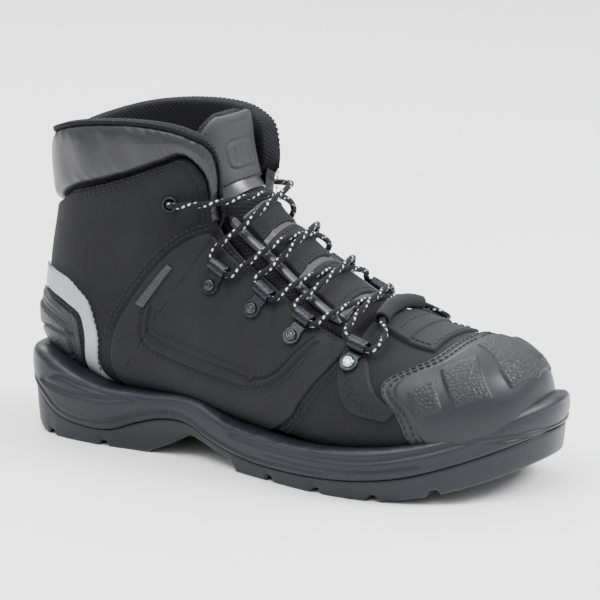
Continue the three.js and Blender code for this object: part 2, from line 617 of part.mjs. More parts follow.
function addInside() {
  const stiff = shellOf(LAYER.stiff);
  const lining = shellOf(LAYER.lining);
  addPiece('puncture_plate', stiff.intersect(underfoot(LAYER.stiff, ...UNDERFOOT)), MATERIAL.kevlar);
  addPiece('insole_board', lining.intersect(underfoot(LAYER.lining, ...UNDERFOOT)), MATERIAL.board);
  addPiece('footbed', shellOf(LAYER.footbed).intersect(underfoot(LAYER.footbed, [0.07, 0.68], 0.78)),
    MATERIAL.foam);
  const belowCap = underfoot(LAYER.stiff, [0.04, 0.7], UNDERFOOT[1] - 0.015);
  addPiece('steel_toe_cap', stiff.intersect(toeEnd(() => 0.235)).subtract(belowCap), MATERIAL.steel);
  addPiece('toe_cap_edge_strip', stiff.intersect(toeEnd(() => 0.252)).subtract(toeEnd(() => 0.236))
    .subtract(belowCap), MATERIAL.lining);
  addPiece('heel_stiffener', stiff.intersect(windowBody([[0.69, 0.6], [0.69, 1], [0.69, 1.4]],
    [[0.8, 0.6], [0.87, 1], [0.8, 1.4]], LAYER.stiff)), MATERIAL.board);
  addPiece('lining', lining.intersect(toeEnd(() => 0.965))
    .subtract(underfoot(LAYER.lining, [0.04, 0.69], UNDERFOOT[1] - 0.01))
    .subtract(throat(LAYER.lining, 0.285, 0.335))
    .subtract(eyeletHole(LATERAL)).subtract(eyeletHole(MEDIAL)), MATERIAL.lining);
}

/** Everything above the seam under a collar pad, within one layer. */
const aboveCollar = (side, layer) => windowBody(mirrored(SEAM.quarterTop, side),
  mirrored(SEAM.quarterTop.map(([, t]) => [1.06, t]), side), layer, 16, 3);

function addUpper() {
  const upper = shellOf(LAYER.upper).subtract(throat(LAYER.upper, THROAT, 0.352));
  addPiece('vamp', upper.intersect(toeEnd((t) => SEAM.vampEdge(t) - 0.001)), MATERIAL.nubuck);
  const rear = upper.subtract(toeEnd((t) => SEAM.vampEdge(t) + 0.001))
    .intersect(toeEnd(() => 0.985));
  SIDES.forEach(([word, side]) => {
    addPiece(`quarter_${word}`, rear.intersect(HALF_SPACE[side]).subtract(aboveCollar(side, LAYER.upper))
      .subtract(eyeletHole(side)), MATERIAL.nubuck);
    const pad = windowBody(mirrored(SEAM.collarLow, side), mirrored(SEAM.collarTop, side), LAYER.collar, 14, 3);
    addPiece(`collar_pad_${word}`, shellOf(LAYER.collar).intersect(pad).intersect(HALF_SPACE[side])
      .subtract(eyeletHole(side)), MATERIAL.smooth);
  });
}

function addOverlays(aboveSole) {
  const overlay = shellOf(LAYER.overlay);
  SIDES.forEach(([word, side]) => {
    const panel = windowBody(mirrored(SEAM.panelFront, side), mirrored(SEAM.panelRear, side),
      LAYER.overlay, 9, 7);
    addPiece(`side_panel_${word}`, aboveSole(overlay.intersect(panel)), MATERIAL.overlay);
    const corner = windowBody(
      mirrored([[0.352, -0.24], [0.352, -0.32], [0.335, -0.40], [0.305, -0.448], [0.268, -0.455]], side),
      mirrored([[0.345, -0.2], [0.315, -0.165], [0.275, -0.165], [0.235, -0.19], [0.252, -0.27]], side),
      LAYER.overlay, 7, 4);
    addPiece(`vamp_overlay_${word}`, overlay.intersect(corner)
      .subtract(toeEnd((t) => SEAM.scuffEdge(t) + 0.002)), MATERIAL.overlay);
  });
  addPiece('scuff_cap', aboveSole(shellOf(LAYER.bumper).intersect(toeEnd(SEAM.scuffEdge))), MATERIAL.bumper);
  const outer = roundTheHeel(SEAM.stripeOuter);
  const inner = roundTheHeel(SEAM.stripeInner);
  addPiece('reflective_strip', aboveSole(overlay.intersect(windowBody(outer, inner, LAYER.overlay, 20, 1))),
    MATERIAL.reflective);
  const guardTop = roundTheHeel(SEAM.guardTop);
  const guardLow = guardTop.map((_, i) => [0.665, -0.92 - 0.16 * i / (guardTop.length - 1)]);
  addPiece('heel_guard', aboveSole(shellOf(LAYER.guard).intersect(
    windowBody(guardTop, guardLow, LAYER.guard, 16, 3))), MATERIAL.guard);
  addPiece('label_tag', shellOf(LAYER.tag).intersect(windowBody([[0.708, -0.372], [0.698, -0.463]],
    [[0.694, -0.366], [0.684, -0.457]], LAYER.tag, 2, 1)), MATERIAL.tag);
  addPiece('vamp_lace_keeper', laceKeeper(), MATERIAL.overlay);
}

function addTongue() {
  const body = tonguePart(0.372, 0.995, tongueHalf, TONGUE.body, 18, 6);
  addPiece('tongue_lower', body.intersect(BELOW_HINGE), MATERIAL.lining);
  addPiece('tongue_flap', body.intersect(ABOVE_HINGE), MATERIAL.lining);
  const patch = tonguePart(0.80, 0.985, (s) => tongueHalf(s) - 0.008, TONGUE.panel, 6, 6);
  addPiece('tongue_patch', patch.intersect(box([-200, -100, 150.5], [200, 100, 260])), MATERIAL.smooth);
  const lip = tonguePart(0.70, 0.86, (s) => tongueHalf(s) - 0.008, TONGUE.panel, 6, 6);
  addPiece('tongue_lip', lip.intersect(ABOVE_HINGE).intersect(box([-200, -100, 0], [200, 100, 150.1])),
    MATERIAL.smooth);
  [['upper', 0.585, 0.66], ['middle', 0.49, 0.575], ['lower', 0.40, 0.48]].forEach(([word, from, to]) => {
    addPiece(`tongue_panel_${word}`, tonguePart(from, to, panelHalf, TONGUE.panel, 3, 6), MATERIAL.overlay);
  });
  SIDES.forEach(([word, side]) => {
    addPiece(`gusset_${word}`, shellOf(LAYER.gusset).intersect(windowBody(
      mirrored([[0.37, -0.28], [0.5, -0.272], [0.64, -0.28]], side),
      mirrored([[0.36, -0.33], [0.5, -0.34], [0.66, -0.33]], side), LAYER.gusset, 6, 2)), MATERIAL.lining);
  });
}

function addLacing() {
  SIDES.forEach(([word, side]) => {
    ROWS.forEach((row, i) => {
      const frame = loopFrame(row, side);
      addPiece(`lace_loop_${word}_${i + 1}`, laceLoop(frame), MATERIAL.hardware);
      addPiece(`loop_rivet_${word}_${i + 1}`, loopRivet(frame), MATERIAL.rivet);
    });
    addPiece(`eyelet_${word}`, eyelet(side), MATERIAL.hardware);
  });
  addPiece('lace', tube(lacePoints, LACE_D / 2, 8), MATERIAL.lace);
  addPiece('aglet_lateral', aglet(lacePoints[0], lacePoints[1]), MATERIAL.aglet);
  addPiece('aglet_medial', aglet(lacePoints.at(-1), lacePoints.at(-2)), MATERIAL.aglet);
}

boot.position.y = CENTRE_SHIFT;
const trim = belowRim();
addSole();
addInside();
addUpper();
addOverlays((body) => body.subtract(trim));
addTongue();
addLacing();

export default boot;
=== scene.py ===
"""Looks of a lace-up safety boot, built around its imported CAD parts.

Shapes are worked out in millimetres on the boot's own foot form and put into meshes in metres.
A place on the form is (s, t): s runs from the toe tip (0) to the collar (1), and t runs round the
foot, 0 on the front centre line and 1 or -1 on the sole and back centre line, negative on the
outer side.
"""

import json
import logging
import math
from dataclasses import dataclass
from enum import Enum
from typing import Callable, Optional, Sequence

import bpy
import numpy as np
from mathutils import Matrix, Vector

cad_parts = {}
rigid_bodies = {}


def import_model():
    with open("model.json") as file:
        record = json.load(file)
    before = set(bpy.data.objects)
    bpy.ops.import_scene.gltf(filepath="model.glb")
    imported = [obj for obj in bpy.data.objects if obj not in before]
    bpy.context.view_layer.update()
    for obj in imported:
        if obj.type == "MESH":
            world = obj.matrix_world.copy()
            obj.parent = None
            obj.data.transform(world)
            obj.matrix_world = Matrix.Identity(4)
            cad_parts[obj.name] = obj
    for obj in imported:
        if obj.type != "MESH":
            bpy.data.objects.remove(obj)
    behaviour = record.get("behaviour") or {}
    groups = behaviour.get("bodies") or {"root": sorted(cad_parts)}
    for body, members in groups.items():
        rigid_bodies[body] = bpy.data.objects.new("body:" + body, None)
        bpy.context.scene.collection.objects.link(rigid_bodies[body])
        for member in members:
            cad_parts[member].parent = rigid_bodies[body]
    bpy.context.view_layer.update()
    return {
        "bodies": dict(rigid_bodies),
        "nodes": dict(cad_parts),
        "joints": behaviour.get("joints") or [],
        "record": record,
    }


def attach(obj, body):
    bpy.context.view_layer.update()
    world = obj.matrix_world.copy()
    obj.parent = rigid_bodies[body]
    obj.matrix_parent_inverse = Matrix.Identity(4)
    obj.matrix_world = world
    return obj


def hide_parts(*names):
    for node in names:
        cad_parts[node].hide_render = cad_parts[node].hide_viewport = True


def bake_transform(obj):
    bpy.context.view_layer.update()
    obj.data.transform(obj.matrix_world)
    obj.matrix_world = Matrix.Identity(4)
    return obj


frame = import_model()

LOG = logging.getLogger("boot")
MM = 0.001
CENTRE_SHIFT = 2.35  # the foot's axis lies this far to the inner side of the middle
Points = Sequence[Sequence[float]]
Array = np.ndarray


class Side(Enum):
    """The two sides of the boot, with the sign that t takes on each."""

    LATERAL = 1
    MEDIAL = -1

    @property
    def word(self) -> str:
        """The side's name in node and piece names."""
        return self.name.lower()


# ---- Curves ---------------------------------------------------------------------------------
def track(knots: Sequence[float], values: Sequence[float], at: Array) -> Array:
    """Smooth curve through (knots, values): cubic Hermite pieces with weighted mean slopes.

    Args:
        knots: increasing places.
        values: the value at each knot.
        at: places to read, clamped to the knots.

    Returns:
        The value at each place.
    """
    k, v = np.asarray(knots, float), np.asarray(values, float)
    x = np.clip(np.asarray(at, float), k[0], k[-1])
    step = np.diff(k)
    chord = np.diff(v) / step
    slope = np.empty_like(v)
    slope[0], slope[-1] = chord[0], chord[-1]
    slope[1:-1] = (chord[:-1] * step[1:] + chord[1:] * step[:-1]) / (step[:-1] + step[1:])
    i = np.clip(np.searchsorted(k, x, side="right") - 1, 0, len(k) - 2)
    h = step[i]
    u = (x - k[i]) / h
    w = 1 - u
    return (v[i] * (1 + 2 * u) * w * w + h * slope[i] * u * w * w
            + v[i + 1] * u * u * (3 - 2 * u) - h * slope[i + 1] * u * u * w)


def curve(points: Points, at: Array, closed: bool = False) -> Array:
    """Catmull-Rom curve through points: centripetal when open, even when closed.

    Args:
        points: the points to pass through, of any dimension.
        at: parameters from 0 to 1, spread evenly over the points.
        closed: whether the curve returns to its first point.

    Returns:
        The curve's points, one row for each parameter.
    """
    p = np.asarray(points, float)
    count = len(p)
    spans = count if closed else count - 1
    x = np.clip(np.asarray(at, float), 0, 1) * spans
    i = np.minimum(x.astype(int), spans - 1)
    w = (x - i)[..., None]
    if closed:
        a, b, c, d = (p[(i + k) % count] for k in (-1, 0, 1, 2))
        before, after = (c - a) / 2, (d - b) / 2
    else:
        longer = np.vstack([2 * p[0] - p[1], p, 2 * p[-1] - p[-2]])
        a, b, c, d = (longer[i + k] for k in (0, 1, 2, 3))
        ab, bc, cd = (np.sqrt(np.maximum(np.linalg.norm(q - r, axis=-1, keepdims=True), 1e-9))
                      for q, r in ((b, a), (c, b), (d, c)))
        before = ((b - a) / ab - (c - a) / (ab + bc) + (c - b) / bc) * bc
        after = ((c - b) / bc - (d - b) / (bc + cd) + (d - c) / cd) * bc
    return (b + before * w + (3 * (c - b) - 2 * before - after) * w ** 2
            + (2 * (b - c) + before + after) * w ** 3)


def smoothstep(low: float, high: float, x: Array) -> Array:
    """0 below low, 1 above high, and a smooth S between them."""
    u = np.clip((np.asarray(x, float) - low) / (high - low), 0, 1)
    return u * u * (3 - 2 * u)


def lengths(points: Array, axis: int = 0) -> Array:
    """Length along a grid of points, from the first one, along one axis."""
    step = np.linalg.norm(np.diff(points, axis=axis), axis=-1)
    start = np.zeros_like(np.take(step, [0], axis=axis))
    return np.concatenate([start, np.cumsum(step, axis=axis)], axis=axis)


def unit(vectors: Array) -> Array:
    """Rows of vectors scaled to length one."""
    return vectors / np.linalg.norm(vectors, axis=-1, keepdims=True)


def soft_noise(x: Array, y: Array, size: float, seed: int) -> Array:
    """Smooth random heights from -1 to 1: eight waves of about one wavelength, in seeded directions."""
    rng = np.random.default_rng(seed)
    total = np.zeros(np.broadcast(x, y).shape)
    for angle, phase, stretch in zip(rng.uniform(0, math.pi, 8), rng.uniform(0, 2 * math.pi, 8),
                                     rng.uniform(0.6, 1.6, 8)):
        wave = 2 * math.pi / (size * stretch)
        total += np.sin(wave * (x * math.cos(angle) + y * math.sin(angle)) + phase)
    return total / 4


# ---- The foot form --------------------------------------------------------------------------
class FootForm:
    """The closed surface that every leather layer lies on, in the CAD's millimetres."""

    # s, front point x and z, back point x and z, lateral and medial half width, height of the
    # widest line (-1 back, 1 front), squareness of the front and of the back half.
    STATIONS = np.array([
        [0.00, 144, 46, 144, 42, 1, 1, 0, 2, 2],
        [0.03, 142, 58, 142, 33, 17, 16, -0.10, 2.1, 2.2],
        [0.07, 137, 67, 137, 28, 31, 29, -0.15, 2.2, 2.6],
        [0.13, 125, 73, 125, 24, 43, 40, -0.25, 2.25, 2.9],
        [0.20, 106, 76, 106, 20, 50, 47, -0.30, 2.2, 3.1],
        [0.28, 83, 79, 82, 17, 54, 50, -0.33, 2.1, 3.2],
        [0.36, 57, 87, 56, 15, 55, 50, -0.38, 2.0, 3.2],
        [0.44, 32, 101, 28, 17, 52, 47, -0.40, 1.95, 3.1],
        [0.52, 12, 116, -10, 21, 47, 43, -0.40, 1.95, 2.9],
        [0.60, -4, 130, -55, 26, 44, 40, -0.38, 2.0, 2.7],
        [0.68, -10, 142, -108, 28, 42, 39, -0.30, 2.1, 2.5],
        [0.76, -12, 150, -147, 50, 41, 39, -0.20, 2.3, 2.3],
        [0.84, -13, 158, -147, 90, 40, 39, -0.10, 2.5, 2.25],
        [0.92, -14, 168, -141, 132, 40, 39, -0.05, 2.6, 2.2],
        [1.00, -15, 184, -143, 176, 41, 40, 0, 2.7, 2.2],
        [1.06, -16, 196, -145, 190, 41, 40, 0, 2.7, 2.2],
    ])
    SET_BACK = ((0.5, 0.55, 0.62, 0.68, 0.76, 0.84, 0.92, 1.0), (0, 0, 2, 5, 11, 15.5, 18, 19))
    TONGUE_INSET = 3.0
    STEP = 2e-3

    def point(self, s: Array, t: Array) -> Array:
        """The form's point at (s, t): a squared-off oval section in each slanted plane.

        Args:
            s: places along the foot.
            t: places round the foot.

        Returns:
            Points with one more axis of length 3.
        """
        s, t = np.broadcast_arrays(np.asarray(s, float), np.asarray(t, float))
        front_x, front_z, back_x, back_z, lateral, medial, widest, n_front, n_back = (
            track(self.STATIONS[:, 0], self.STATIONS[:, k], s) for k in range(1, 10))
        wrapped = t - 2 * np.round(t / 2)
        cosine = np.cos(np.pi * wrapped)
        power = 2 / np.where(cosine >= 0, n_front, n_back)
        reach = np.abs(cosine) ** power
        along = np.where(cosine >= 0, widest + (1 - widest) * reach, widest - (1 + widest) * reach)
        across = np.abs(np.sin(np.pi * wrapped)) ** power
        width = np.where(wrapped < 0, -lateral, medial)
        return np.stack([
            (front_x + back_x) / 2 + (front_x - back_x) / 2 * along,
            width * across + CENTRE_SHIFT,
            (front_z + back_z) / 2 + (front_z - back_z) / 2 * along], axis=-1)

    def normal(self, s: Array, t: Array) -> Array:
        """Outward unit normal at (s, t), from differences along s and t."""
        s = np.asarray(s, float)
        t = np.asarray(t, float)
        along = (self.point(np.minimum(s + self.STEP, 1.06), t)
                 - self.point(np.maximum(s - self.STEP, 0), t))
        around = self.point(s, t + self.STEP) - self.point(s, t - self.STEP)
        out = np.cross(around, along)
        return out / np.maximum(np.linalg.norm(out, axis=-1, keepdims=True), 1e-9)

    def skin(self, s: Array, t: Array, h: Array) -> Array:
        """Point at height h above the form."""
        return self.point(s, t) + self.normal(s, t) * np.asarray(h, float)[..., None]

    def tongue(self, s: Array, t: Array, h: Array) -> Array:
        """Point at height h above the tongue's face, which leans back into the shaft above the ankle."""
        to_back = unit(self.point(s, 1.0) - self.point(s, 0.0))
        back = track(*self.SET_BACK, s)[..., None]
        return self.skin(s, t, np.asarray(h, float) - self.TONGUE_INSET) + to_back * back


FORM = FootForm()


def along_path(path: Points, spacing: float, place: Callable[..., Array] = FORM.skin) -> tuple[Array, Array]:
    """Evenly spaced places along a line through (s, t) points.

    Args:
        path: the (s, t) points of the line.
        spacing: distance between places, in millimetres.
        place: the surface that the line lies on.

    Returns:
        The places' (s, t), and their points on the surface.
    """
    dense = curve(path, np.linspace(0, 1, 60 * len(path)))
    run = lengths(place(dense[:, 0], dense[:, 1], np.zeros(len(dense))))
    count = max(2, int(round(run[-1] / spacing)) + 1)
    at = np.linspace(0, run[-1], count)
    st = np.stack([np.interp(at, run, dense[:, k]) for k in (0, 1)], axis=-1)
    return st, place(st[:, 0], st[:, 1], np.zeros(count))


def distance_to(points: Array, line: Array) -> Array:
    """Distance from each point to the nearest point of a line, in blocks that fit in memory."""
    flat = points.reshape(-1, 3)
    blocks = np.array_split(flat, max(1, len(flat) * len(line) // 3_000_000))
    found = [np.sqrt(((b[:, None] - line[None]) ** 2).sum(-1).min(1)) for b in blocks]
    return np.concatenate(found).reshape(points.shape[:-1])


def inside(st: Array, outline: Array) -> Array:
    """Whether each (s, t) lies inside a closed outline, by counting crossings."""
    s, t = st[..., 0], st[..., 1]
    within = np.zeros(s.shape, bool)
    for (s0, t0), (s1, t1) in zip(outline, np.roll(outline, -1, axis=0)):
        crosses = (t0 > t) != (t1 > t)
        at = s0 + (t - t0) * (s1 - s0) / (t1 - t0 if t1 != t0 else 1e-9)
        within ^= crosses & (s < at)
    return within


# ---- Relief moulded or pressed into a surface -------------------------------------------------
@dataclass(frozen=True)
class Line:
    """A raised (or, below zero, sunk) line: height * exp(-(distance / width) squared)."""

    path: Points
    height: float
    width: float = 0.8

    def rise(self, s: Array, t: Array, points: Array) -> Array:
        """Height that the line adds at each grid point."""
        _, line = along_path(self.path, 0.8)
        return self.height * np.exp(-(distance_to(points, line) / self.width) ** 2)


@dataclass(frozen=True)
class Pad:
    """A raised (or sunk) patch with a rounded edge: height times a smooth step of edge distance."""

    outline: Points
    height: float
    bevel: float = 1.2
    dome: float = 0.0

    def edge(self, s: Array, t: Array, points: Array) -> Array:
        """Distance to the patch's edge, positive inside it."""
        corners = np.asarray(self.outline, float)
        ring = np.vstack([corners, corners[:1]])
        fine = np.vstack([np.linspace(a, b, 24, endpoint=False) for a, b in zip(ring[:-1], ring[1:])])
        line = FORM.skin(fine[:, 0], fine[:, 1], np.zeros(len(fine)))
        away = distance_to(points, line)
        return np.where(inside(np.stack([s, t], -1), corners), away, -away)

    def rise(self, s: Array, t: Array, points: Array) -> Array:
        """Height that the patch adds at each grid point."""
        edge = self.edge(s, t, points)
        return self.height * smoothstep(-self.bevel / 2, self.bevel / 2, edge) + (
            self.dome * np.clip(edge / 8, 0, 1) ** 0.5)


def mirrored(points: Points, side: Side) -> list[list[float]]:
    """The (s, t) points on one side, from the lateral ones."""
    return [[p[0], p[1] * side.value] for p in points]


# ---- Meshes ---------------------------------------------------------------------------------
def make_mesh(name: str, points: Array, faces: Sequence[Array], uv: Optional[Array] = None,
              marks: Optional[dict[str, Array]] = None) -> bpy.types.Object:
    """Puts points and faces into a new object, turned so that its faces point out.

    Args:
        name: the piece's name.
        points: vertices in millimetres.
        faces: arrays of vertex indices, each of one face size.
        uv: a texture place for each vertex, in millimetres.
        marks: named values for each vertex, which materials read.

    Returns:
        The object, at the origin.
    """
    corners = [np.asarray(f, np.int64) for f in faces if len(f)]
    fans = [np.stack([f[:, 0], f[:, k], f[:, k + 1]], -1) for f in corners for k in range(1, f.shape[1] - 1)]
    tri = points[np.vstack(fans)]
    volume = np.einsum("ij,ij->i", tri[:, 0], np.cross(tri[:, 1], tri[:, 2])).sum()
    if volume < 0:
        corners = [f[:, ::-1] for f in corners]
    flat = np.concatenate([f.ravel() for f in corners])
    sizes = np.concatenate([np.full(len(f), f.shape[1]) for f in corners])
    mesh = bpy.data.meshes.new(name)
    mesh.vertices.add(len(points))
    mesh.vertices.foreach_set("co", (points * MM).astype(np.float32).ravel())
    mesh.loops.add(len(flat))
    mesh.loops.foreach_set("vertex_index", flat.astype(np.int32))
    mesh.polygons.add(len(sizes))
    mesh.polygons.foreach_set("loop_start", np.concatenate([[0], np.cumsum(sizes)[:-1]]).astype(np.int32))
    mesh.polygons.foreach_set("loop_total", sizes.astype(np.int32))
    mesh.polygons.foreach_set("use_smooth", np.ones(len(sizes), bool))
    if uv is not None:
        layer = mesh.uv_layers.new(name="UVMap")
        layer.data.foreach_set("uv", (uv[flat] * MM).astype(np.float32).ravel())
    for word, values in (marks or {}).items():
        mesh.attributes.new(word, "FLOAT", "POINT").data.foreach_set(
            "value", np.asarray(values, np.float32).ravel())
    mesh.update(calc_edges=True)
    mesh.validate()
    obj = bpy.data.objects.new(name, mesh)
    bpy.context.scene.collection.objects.link(obj)
    return obj


def grid_faces(rows: int, columns: int, first: int = 0, wrap: bool = False) -> Array:
    """Quads of a grid of points numbered row by row, joined round its columns if wrap is set."""
    i, j = np.meshgrid(np.arange(rows - 1), np.arange(columns if wrap else columns - 1), indexing="ij")
    k = (j + 1) % columns
    quads = np.stack([i * columns + j, i * columns + k, (i + 1) * columns + k, (i + 1) * columns + j], -1)
    return quads.reshape(-1, 4) + first


def slab_mesh(name: str, top: Array, bottom: Array, uv: Array, marks: dict[str, Array]) -> bpy.types.Object:
    """A closed piece between two grids of equal size, with walls along its four edges.

    Args:
        name: the piece's name.
        top: outer grid of points.
        bottom: inner grid of points.
        uv: texture places of the grid.
        marks: named values of the grid.

    Returns:
        The object.
    """
    rows, columns = top.shape[:2]
    under = rows * columns
    faces = [grid_faces(rows, columns), grid_faces(rows, columns, under)[:, ::-1]]
    index = np.arange(under).reshape(rows, columns)
    loop = np.concatenate([index[0, :], index[1:, -1], index[-1, -2::-1], index[-2:0:-1, 0]])
    after = np.roll(loop, -1)
    faces.append(np.stack([after, loop, loop + under, after + under], -1))
    points = np.vstack([top.reshape(-1, 3), bottom.reshape(-1, 3)])
    doubled = {word: np.tile(np.asarray(v).ravel(), 2) for word, v in marks.items()}
    return make_mesh(name, points, faces, np.tile(uv.reshape(-1, 2), (2, 1)), doubled)


def lathe_mesh(name: str, section: Points, matrix: Array, steps: int = 32) -> bpy.types.Object:
    """A ring turned about local Z from a closed section of (radius, height) points.

    Args:
        name: the piece's name.
        section: the section's points, in order round it.
        matrix: 4 by 4 placing matrix, in millimetres.
        steps: how many turns of the section make the ring.

    Returns:
        The object.
    """
    r, z = np.asarray(section, float).T
    angle = np.linspace(0, 2 * np.pi, steps, endpoint=False)[:, None]
    local = np.stack([r * np.cos(angle), r * np.sin(angle), np.broadcast_to(z, (steps, len(z)))], -1)
    points = local.reshape(-1, 3) @ matrix[:3, :3].T + matrix[:3, 3]
    count = len(r)
    quads = grid_faces(steps + 1, count, wrap=True) % (steps * count)
    return make_mesh(name, points, [quads])


def round_section(section: Points, radius: float, steps: int = 4) -> Array:
    """A closed outline with its corners rounded: each corner becomes a short quadratic curve.

    Args:
        section: the corners, in order.
        radius: how far from the corner the curve starts, at most.
        steps: points on each corner.

    Returns:
        The rounded outline.
    """
    p = np.asarray(section, float)
    before, after = np.roll(p, 1, axis=0) - p, np.roll(p, -1, axis=0) - p
    reach = [np.minimum(radius, 0.45 * np.linalg.norm(d, axis=1))[:, None]
             * d / np.maximum(np.linalg.norm(d, axis=1), 1e-9)[:, None] for d in (before, after)]
    u = np.linspace(0, 1, steps)[None, :, None]
    a, b = (p + reach[0])[:, None], (p + reach[1])[:, None]
    return ((1 - u) ** 2 * a + 2 * u * (1 - u) * p[:, None] + u ** 2 * b).reshape(-1, p.shape[1])


def sweep_mesh(name: str, centre: Array, across: Array, up: Array, section: Array,
               marks: Optional[dict[str, Array]] = None, swell: Optional[Array] = None) -> bpy.types.Object:
    """A closed bar: a section of (across, up) points carried along a path, capped at both ends.

    Args:
        name: the piece's name.
        centre: the path's points.
        across: unit vectors across the path, one for each point.
        up: unit vectors out of the path, one for each point.
        section: the section's points, in order.
        marks: named values for each path point and section point.
        swell: scale of the section for each path point and section point.

    Returns:
        The object.
    """
    size = np.ones((len(centre), len(section))) if swell is None else swell
    local = section[None] * size[..., None]
    points = centre[:, None] + across[:, None] * local[..., :1] + up[:, None] * local[..., 1:]
    count = len(section)
    run = lengths(centre)
    turn = lengths(np.vstack([section, section[:1]]))[:-1]
    uv = np.stack([np.broadcast_to(turn[None], size.shape), np.broadcast_to(run[:, None], size.shape)], -1)
    ends = [np.arange(count)[None], (np.arange(count) + (len(centre) - 1) * count)[None, ::-1]]
    faces = [grid_faces(len(centre), count, wrap=True)[:, ::-1], *ends]
    return make_mesh(name, points.reshape(-1, 3), faces, uv.reshape(-1, 2), marks)


def frames_along(points: Array) -> tuple[Array, Array]:
    """Unit vectors across and out of a path that turn as little as they can along it."""
    tangent = unit(np.gradient(points, axis=0))
    across = np.empty_like(points)
    start = np.cross(tangent[0], (0.0, 0.0, 1.0))
    across[0] = start / np.linalg.norm(start)
    for i in range(1, len(points)):
        flat = across[i - 1] - tangent[i] * (across[i - 1] @ tangent[i])
        across[i] = flat / np.linalg.norm(flat)
    return across, np.cross(tangent, across)


def circle(radius: float, sides: int) -> Array:
    """A round section."""
    angle = 2 * np.pi * np.arange(sides) / sides
    return radius * np.stack([np.cos(angle), np.sin(angle)], -1)


@dataclass
class Panel:
    """A cut piece of leather or moulding that lies on the form between two rails.

    Its face is high above the form, rolls down to low within edge of its border as a quarter
    circle, and carries relief. shape, if given, adds a height from (u, v, s, t, edge distance).
    """

    name: str
    rail_a: Points
    rail_b: Points
    low: float
    high: float
    columns: int = 100
    rows: int = 50
    edge: float = 1.2
    side: Side = Side.LATERAL
    relief: tuple = ()
    shape: Optional[Callable[..., Array]] = None
    place: Callable[..., Array] = FORM.skin
    marker: Optional[tuple] = None

    def build(self) -> bpy.types.Object:
        """Builds the piece.

        Returns:
            The object, with its edge distance in the attribute "rim".
        """
        u = np.linspace(0, 1, self.columns)
        v = np.linspace(0, 1, self.rows)
        a, b = curve(self.rail_a, u)[:, None], curve(self.rail_b, u)[:, None]
        st = a * (1 - v[None, :, None]) + b * v[None, :, None]
        s, t = st[..., 0], st[..., 1] * self.side.value
        flat = self.place(s, t, np.full(s.shape, self.high))
        run_u, run_v = lengths(flat, 0), lengths(flat, 1)
        rim = np.minimum(np.minimum(run_u, run_u[-1:] - run_u), np.minimum(run_v, run_v[:, -1:] - run_v))
        roll = np.sqrt(np.clip(1 - (1 - np.clip(rim / self.edge, 0, 1)) ** 2, 0, 1))
        face = FORM.skin(s, t, np.zeros(s.shape))
        h = self.high + sum((r.rise(s, t, face) for r in self.relief), np.zeros(s.shape))
        if self.shape is not None:
            h = h + self.shape(u[:, None], v[None], s, t, rim)
        top = self.place(s, t, self.low + (h - self.low) * np.clip(roll, 0.02, 1))
        bottom = self.place(s, t, np.full(s.shape, self.low))
        marks = {"rim": np.exp(-rim / 1.6)}
        if self.marker is not None:
            marks["mark"] = np.clip(sum(m.rise(s, t, face) for m in self.marker), 0, 1)
        return slab_mesh(self.name, top, bottom, np.stack([run_u, run_v], -1), marks)


@dataclass(frozen=True)
class Stitching:
    """A row of thread stitches along a seam, each a short arched bead that dips in at its ends."""

    path: Points
    height: float
    length: float = 2.6
    gap: float = 0.9
    radius: float = 0.36
    shift: float = 0.0
    place: Callable[..., Array] = FORM.skin

    def beads(self) -> Array:
        """Points of all the stitches.

        Returns:
            An array of stitches, rings and sides.
        """
        st, _ = along_path(self.path, (self.length + self.gap) / 4, self.place)
        s, t = st[:, 0], st[:, 1]
        base = self.place(s, t, np.full(len(s), self.height))
        out = self.place(s, t, np.full(len(s), self.height + 1.0)) - base
        tangent = unit(np.gradient(base, axis=0))
        sideways = unit(np.cross(out, tangent))
        base = base + sideways * self.shift
        mid = np.arange(2, len(s) - 2, 4)
        reach = np.array([-0.5, -0.42, -0.15, 0.15, 0.42, 0.5]) * self.length
        dip = np.array([-0.7, -0.15, 0.1, 0.1, -0.15, -0.7]) * self.radius
        thick = np.array([0.35, 0.9, 1, 1, 0.9, 0.35]) * self.radius
        centre = (base[mid, None] + tangent[mid, None] * reach[None, :, None]
                  + out[mid, None] * dip[None, :, None])
        angle = 2 * np.pi * np.arange(6) / 6
        ring = (sideways[mid, None, None] * np.cos(angle)[None, None, :, None]
                + out[mid, None, None] * np.sin(angle)[None, None, :, None])
        return centre[:, :, None] + ring * thick[None, :, None, None]


def stitch_mesh(name: str, rows: Sequence[Stitching]) -> bpy.types.Object:
    """One object from several rows of stitches."""
    beads = np.concatenate([row.beads() for row in rows])
    count, rings, sides = beads.shape[:3]
    size = rings * sides
    starts = (np.arange(count) * size)[:, None, None]
    body = (grid_faces(rings, sides, wrap=True)[None] + starts).reshape(-1, 4)
    first = (np.arange(sides)[None, ::-1] + starts[:, 0]).reshape(-1, sides)
    last = (np.arange(sides)[None] + size - sides + starts[:, 0]).reshape(-1, sides)
    return make_mesh(name, beads.reshape(-1, 3), [body, first, last])


